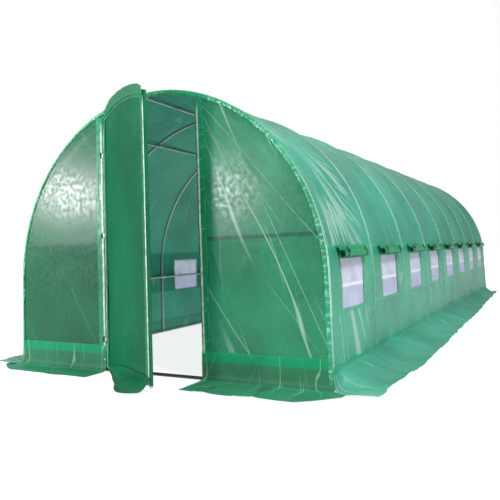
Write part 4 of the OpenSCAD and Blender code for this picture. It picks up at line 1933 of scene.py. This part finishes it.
@dataclass
class Stage:
    """Floor, light and camera."""

    survey: Survey
    spot: tuple[float, float, float] = (2.881, -3.458, 0.932)
    yaw: float = 29.41
    pitch: float = 4.65
    roll: float = -2.25
    lens: float = 39.96
    shift: float = -0.086
    floor_glow: float = 0.82

    def floor(self) -> None:
        """Adds the pale floor."""
        deselect()
        bpy.ops.mesh.primitive_plane_add(size=120.0, location=(0, 0, 0))
        plane = bpy.context.active_object
        plane.name = "floor"
        n = Nodes("pale_floor")
        grain = n.add("TexNoise", Vector=n.object_point(), Scale=3.0, Detail=3.0)
        tone = n.ramp(grain.outputs[0], 0.3, 0.7, 0.985, 1.0)
        colour = n.blend(1.0, (0.32, 0.32, 0.32), tone, "MULTIPLY")
        paper = n.add("BsdfPrincipled", Base_Color=colour, Roughness=0.9)
        paper.inputs["Emission Color"].default_value = (1.0, 1.0, 1.0, 1.0)
        far = n.add("VectorMath", operation="LENGTH", Vector=n.object_point()).outputs["Value"]
        n.feed(paper, "Emission Strength", n.ramp(far, 5.5, 9.0, self.floor_glow, 1.0))
        plane.data.materials.append(n.finish(paper.outputs[0]))

    def lamp(self, name: str, spot: Vector, aim: Vector, size: float, power: float, colour: Colour) -> None:
        """Adds one square lamp.

        Args:
            name: Its name.
            spot: Where it hangs.
            aim: The point that it faces.
            size: Length of its side.
            power: Watts.
            colour: Its colour.
        """
        data = bpy.data.lights.new(name, "AREA")
        data.shape, data.size, data.energy, data.color = "SQUARE", size, power, colour
        obj = bpy.data.objects.new(name, data)
        obj.location = spot
        obj.rotation_euler = (aim - spot).to_track_quat("-Z", "Y").to_euler()
        obj.visible_camera = False
        bpy.context.scene.collection.objects.link(obj)

    def lights(self) -> None:
        """Adds the soft studio light."""
        world = bpy.data.worlds.new("studio")
        world.use_nodes = True
        tree = world.node_tree
        way = tree.nodes.new("ShaderNodeSeparateXYZ")
        tree.links.new(tree.nodes.new("ShaderNodeTexCoord").outputs["Generated"], way.inputs[0])
        fade = tree.nodes.new("ShaderNodeMapRange")
        ranges = {"From Min": -0.075, "From Max": 0.12, "To Min": 1.0, "To Max": 0.42}
        for key, value in ranges.items():
            fade.inputs[key].default_value = value
        tree.links.new(way.outputs[0], fade.inputs["Value"])
        tree.links.new(fade.outputs[0], tree.nodes["Background"].inputs[1])
        tree.nodes["Background"].inputs[0].default_value = (1.0, 1.0, 1.0, 1.0)
        bpy.context.scene.world = world
        door = Vector((0.0, self.survey.front, 0.0))
        white = (1.0, 1.0, 1.0)
        left, right = door + Vector((-0.84, 0, 1.49)), door + Vector((0.68, 0, 1.40))
        self.lamp("key", Vector((6.8, -6.0, 8.6)), Vector((0, -1.0, 1.0)), 2.5, 1120.0, (1.0, 0.99, 0.97))
        self.lamp("left_glow", left + 1.3 * Vector((-3.718, -3.458, 0.56)), left, 0.55, 230.0, white)
        self.lamp("right_glow", right + 1.3 * Vector((-2.198, -3.458, 0.48)), right, 0.55, 130.0, white)

    def camera(self) -> None:
        """Adds the camera."""
        v = self.survey
        yaw, pitch, roll = (math.radians(a) for a in (self.yaw, self.pitch, self.roll))
        ahead = Vector((-math.sin(yaw) * math.cos(pitch), math.cos(yaw) * math.cos(pitch), math.sin(pitch)))
        right = ahead.cross(Vector((0, 0, 1))).normalized()
        up = right.cross(ahead)
        across = right * math.cos(roll) + up * math.sin(roll)
        above = up * math.cos(roll) - right * math.sin(roll)
        turn = Matrix((across, above, -ahead)).transposed()
        data = bpy.data.cameras.new("camera")
        data.sensor_width, data.lens, data.shift_y = 36.0, self.lens, self.shift
        obj = bpy.data.objects.new("camera", data)
        place = Vector((self.spot[0], v.front + self.spot[1], self.spot[2]))
        obj.matrix_world = Matrix.Translation(place) @ turn.to_4x4()
        bpy.context.scene.collection.objects.link(obj)
        bpy.context.scene.camera = obj
        bpy.context.scene.view_settings.view_transform = "Standard"


def cover_finishes(survey: Survey) -> dict[str, bpy.types.Material]:
    """Makes every finish of the cover and the door's cloth.

    Args:
        survey: Sizes and places of the frame.

    Returns:
        The materials by the name that the pieces use.
    """
    along = (survey.hoops[0], survey.hoops[1] - survey.hoops[0])
    bright, shade = (0.04, 0.60, 0.30), (0.012, 0.10, 0.07)
    seams = (Belt(survey.band_top - 0.008, survey.band_top + 0.008, bright, 0.8),)
    band_seams = (
        Belt(survey.window_low - 0.03, survey.window_low - 0.010, bright, 0.8),
        Belt(survey.band_top - 0.014, survey.band_top + 0.01, bright, 0.8),
    )
    # Painted shadow of the cross bar behind the end panels.
    bars = (Belt(survey.bar_z - 0.018, survey.bar_z + 0.010, shade, 0.75),)
    # Skirt bands, from the top: a bright hem band, a darker greyer band, and painted shade along the crease
    # at the ground.
    skirts = (
        Belt(0.142, 0.30, (0.010, 0.38, 0.16), 0.85),
        Belt(0.030, 0.142, (0.07, 0.22, 0.12), 0.6),
        Belt(0.012, 0.030, (0.01, 0.12, 0.06), 0.6),
    )
    slants = (
        Folds(0.0, 0.075, 1.8, 0.80, 1.0, fan=0.25),
        Folds(0.0, 0.060, 1.4, 0.75, 5.0, fan=1.1),
        Folds(22.0, 0.20, 1.6, 0.35, 11.0),
        Folds(4.0, 0.17, 0.9, 0.50, 17.0),
    )
    hangs = (
        Folds(-66.0, 0.13, 1.6, 0.75, 21.0),
        Folds(-54.0, 0.24, 1.2, 0.55, 27.0),
        Folds(-80.0, 0.20, 1.0, 0.35, 31.0),
    )
    rucks = (
        Folds(6.0, 0.09, 0.5, 0.45, 41.0, wide=0.005),
        Folds(-26.0, 0.13, 0.4, 0.35, 47.0, wide=0.004),
    )
    walls = Film(
        "end_film", (0.028, 0.34, 0.175), (0.05, 0.30, 0.20), through=0.36, gloss=0.27,
        crumple=0.0006, folds=hangs, belts=bars, mirrored=False,
    )
    # Painted shade: a darker copy of the end film for the left front panel, which also has fewer creases and
    # lets less through.
    calm = replace(
        walls, name="end_film_shaded_calm", body=(0.010, 0.165, 0.078), glow=(0.02, 0.20, 0.11),
        through=0.27, folds=(Folds(-50.0, 0.30, 1.2, 0.30, 61.0),),
    )
    finishes = {
        "roof": Film(
            "roof_film", (0.085, 0.53, 0.37), (0.09, 0.29, 0.24), scatter=0.28, shine=0.3,
            hoops=along, folds=slants, belts=seams,
        ),
        "band": Film(
            "band_film", (0.055, 0.48, 0.30), (0.05, 0.30, 0.20), through=0.2, scatter=0.28,
            shine=0.3, hoops=along, folds=slants[2:], belts=band_seams,
        ),
        "apron": Film(
            "skirt_film", (0.080, 0.43, 0.31), (0.07, 0.38, 0.28), through=0.12, gloss=0.4,
            shine=0.2, folds=rucks,
        ),
        "ends": walls,
        "calm": calm,
        "leaf": Film(
            "leaf_film", (0.001, 0.150, 0.060), (0.01, 0.17, 0.09), through=0.10, gloss=0.40,
            shine=0.10,
        ),
        "leaf_hem": Film(
            "leaf_hem_film", (0.008, 0.21, 0.093), (0.02, 0.23, 0.13), through=0.12, shine=0.3,
            highlight_stripe=(0.047, 0.010, 2.08),
        ),
        "hem": Film(
            "hem_film", (0.010, 0.29, 0.130), (0.03, 0.32, 0.18), through=0.12, gloss=0.30,
            folds=rucks, highlight_stripe=(0.060, 0.013, 2.1),
        ),
        "flap": Film(
            "flap_film", (0.014, 0.29, 0.14), (0.03, 0.28, 0.17), through=0.12, gloss=0.5,
            shine=0.15, folds=rucks, belts=skirts,
        ),
        "trim": Film(
            "binding_film", (0.02, 0.42, 0.20), (0.05, 0.42, 0.26), through=0.08, gloss=0.26,
            gather=0.4,
        ),
        "tape": Film(
            "seam_tape_film", (0.03, 0.47, 0.24), (0.05, 0.42, 0.26), through=0.05, shine=0.2,
        ),
        "roll": Film(
            "rolled_film", (0.015, 0.36, 0.16), (0.03, 0.36, 0.20), through=0.06, gloss=0.36,
            shine=0.25,
        ),
        "net": Netting("insect_mesh", (0.72, 0.74, 0.88), survey.side_bar_z),
        "tie": Moulded("dark_tie", (0.012, 0.03, 0.025)),
    }
    return {name: finish.material() for name, finish in finishes.items()}


def main() -> None:
    """Builds every piece in order."""
    logging.basicConfig(level=logging.INFO, format="%(message)s")
    survey = Survey.read()
    shell = Shell(survey)
    stage = Stage(survey)
    stage.camera()
    stage.floor()
    stage.lights()
    FrameFinishes().apply()
    use = cover_finishes(survey)

    RoofCover(survey, shell).build(use["roof"])
    door = Door(survey)
    edge, rim = survey.post_x - survey.tube, survey.radius
    for side in Side:
        right = side is Side.RIGHT
        WindowBand(survey, shell, side).build(use["band"])
        Screens(survey, shell, side).build(use["net"])
        RolledFlaps(survey, shell, side).build(use["roll"], use["tie"])
        SideSkirt(survey, shell, side).build(use["apron"], use["tape"])
        EndPanel(
            survey, End.FRONT, f"front_panel_{side.word}", edge if right else -rim,
            rim if right else -edge, (f"front_cover_{side.word}",), 101 + side.value,
        ).build(use["ends" if right else "calm"])
        PostSleeve(survey, side).build(use["hem"], [] if right else door.straps)
    EndPanel(survey, End.REAR, "rear_panel", -rim, rim, ("rear_cover",), 111).build(use["ends"])
    front = (
        EndSkirt(survey, End.FRONT, -rim, -edge, 201, low=True, stretch=0.9),
        EndSkirt(survey, End.FRONT, edge, rim, 211, stretch=1.18),
    )
    rear = (EndSkirt(survey, End.REAR, -rim, rim, 221),)
    GroundFlaps(front, "front_skirts").build("front_ground_flaps", use["flap"])
    GroundFlaps(rear, "rear_skirt").build("rear_ground_flap", use["flap"])
    for end in End:
        Binding(survey, end).build(use["trim"])
    door.build_panel(use["leaf"])
    door.build_hem(use["leaf_hem"])
    door.build_lip(use["leaf_hem"])
    door.build_tail(use["leaf"])


if __name__ == "__main__":
    main()
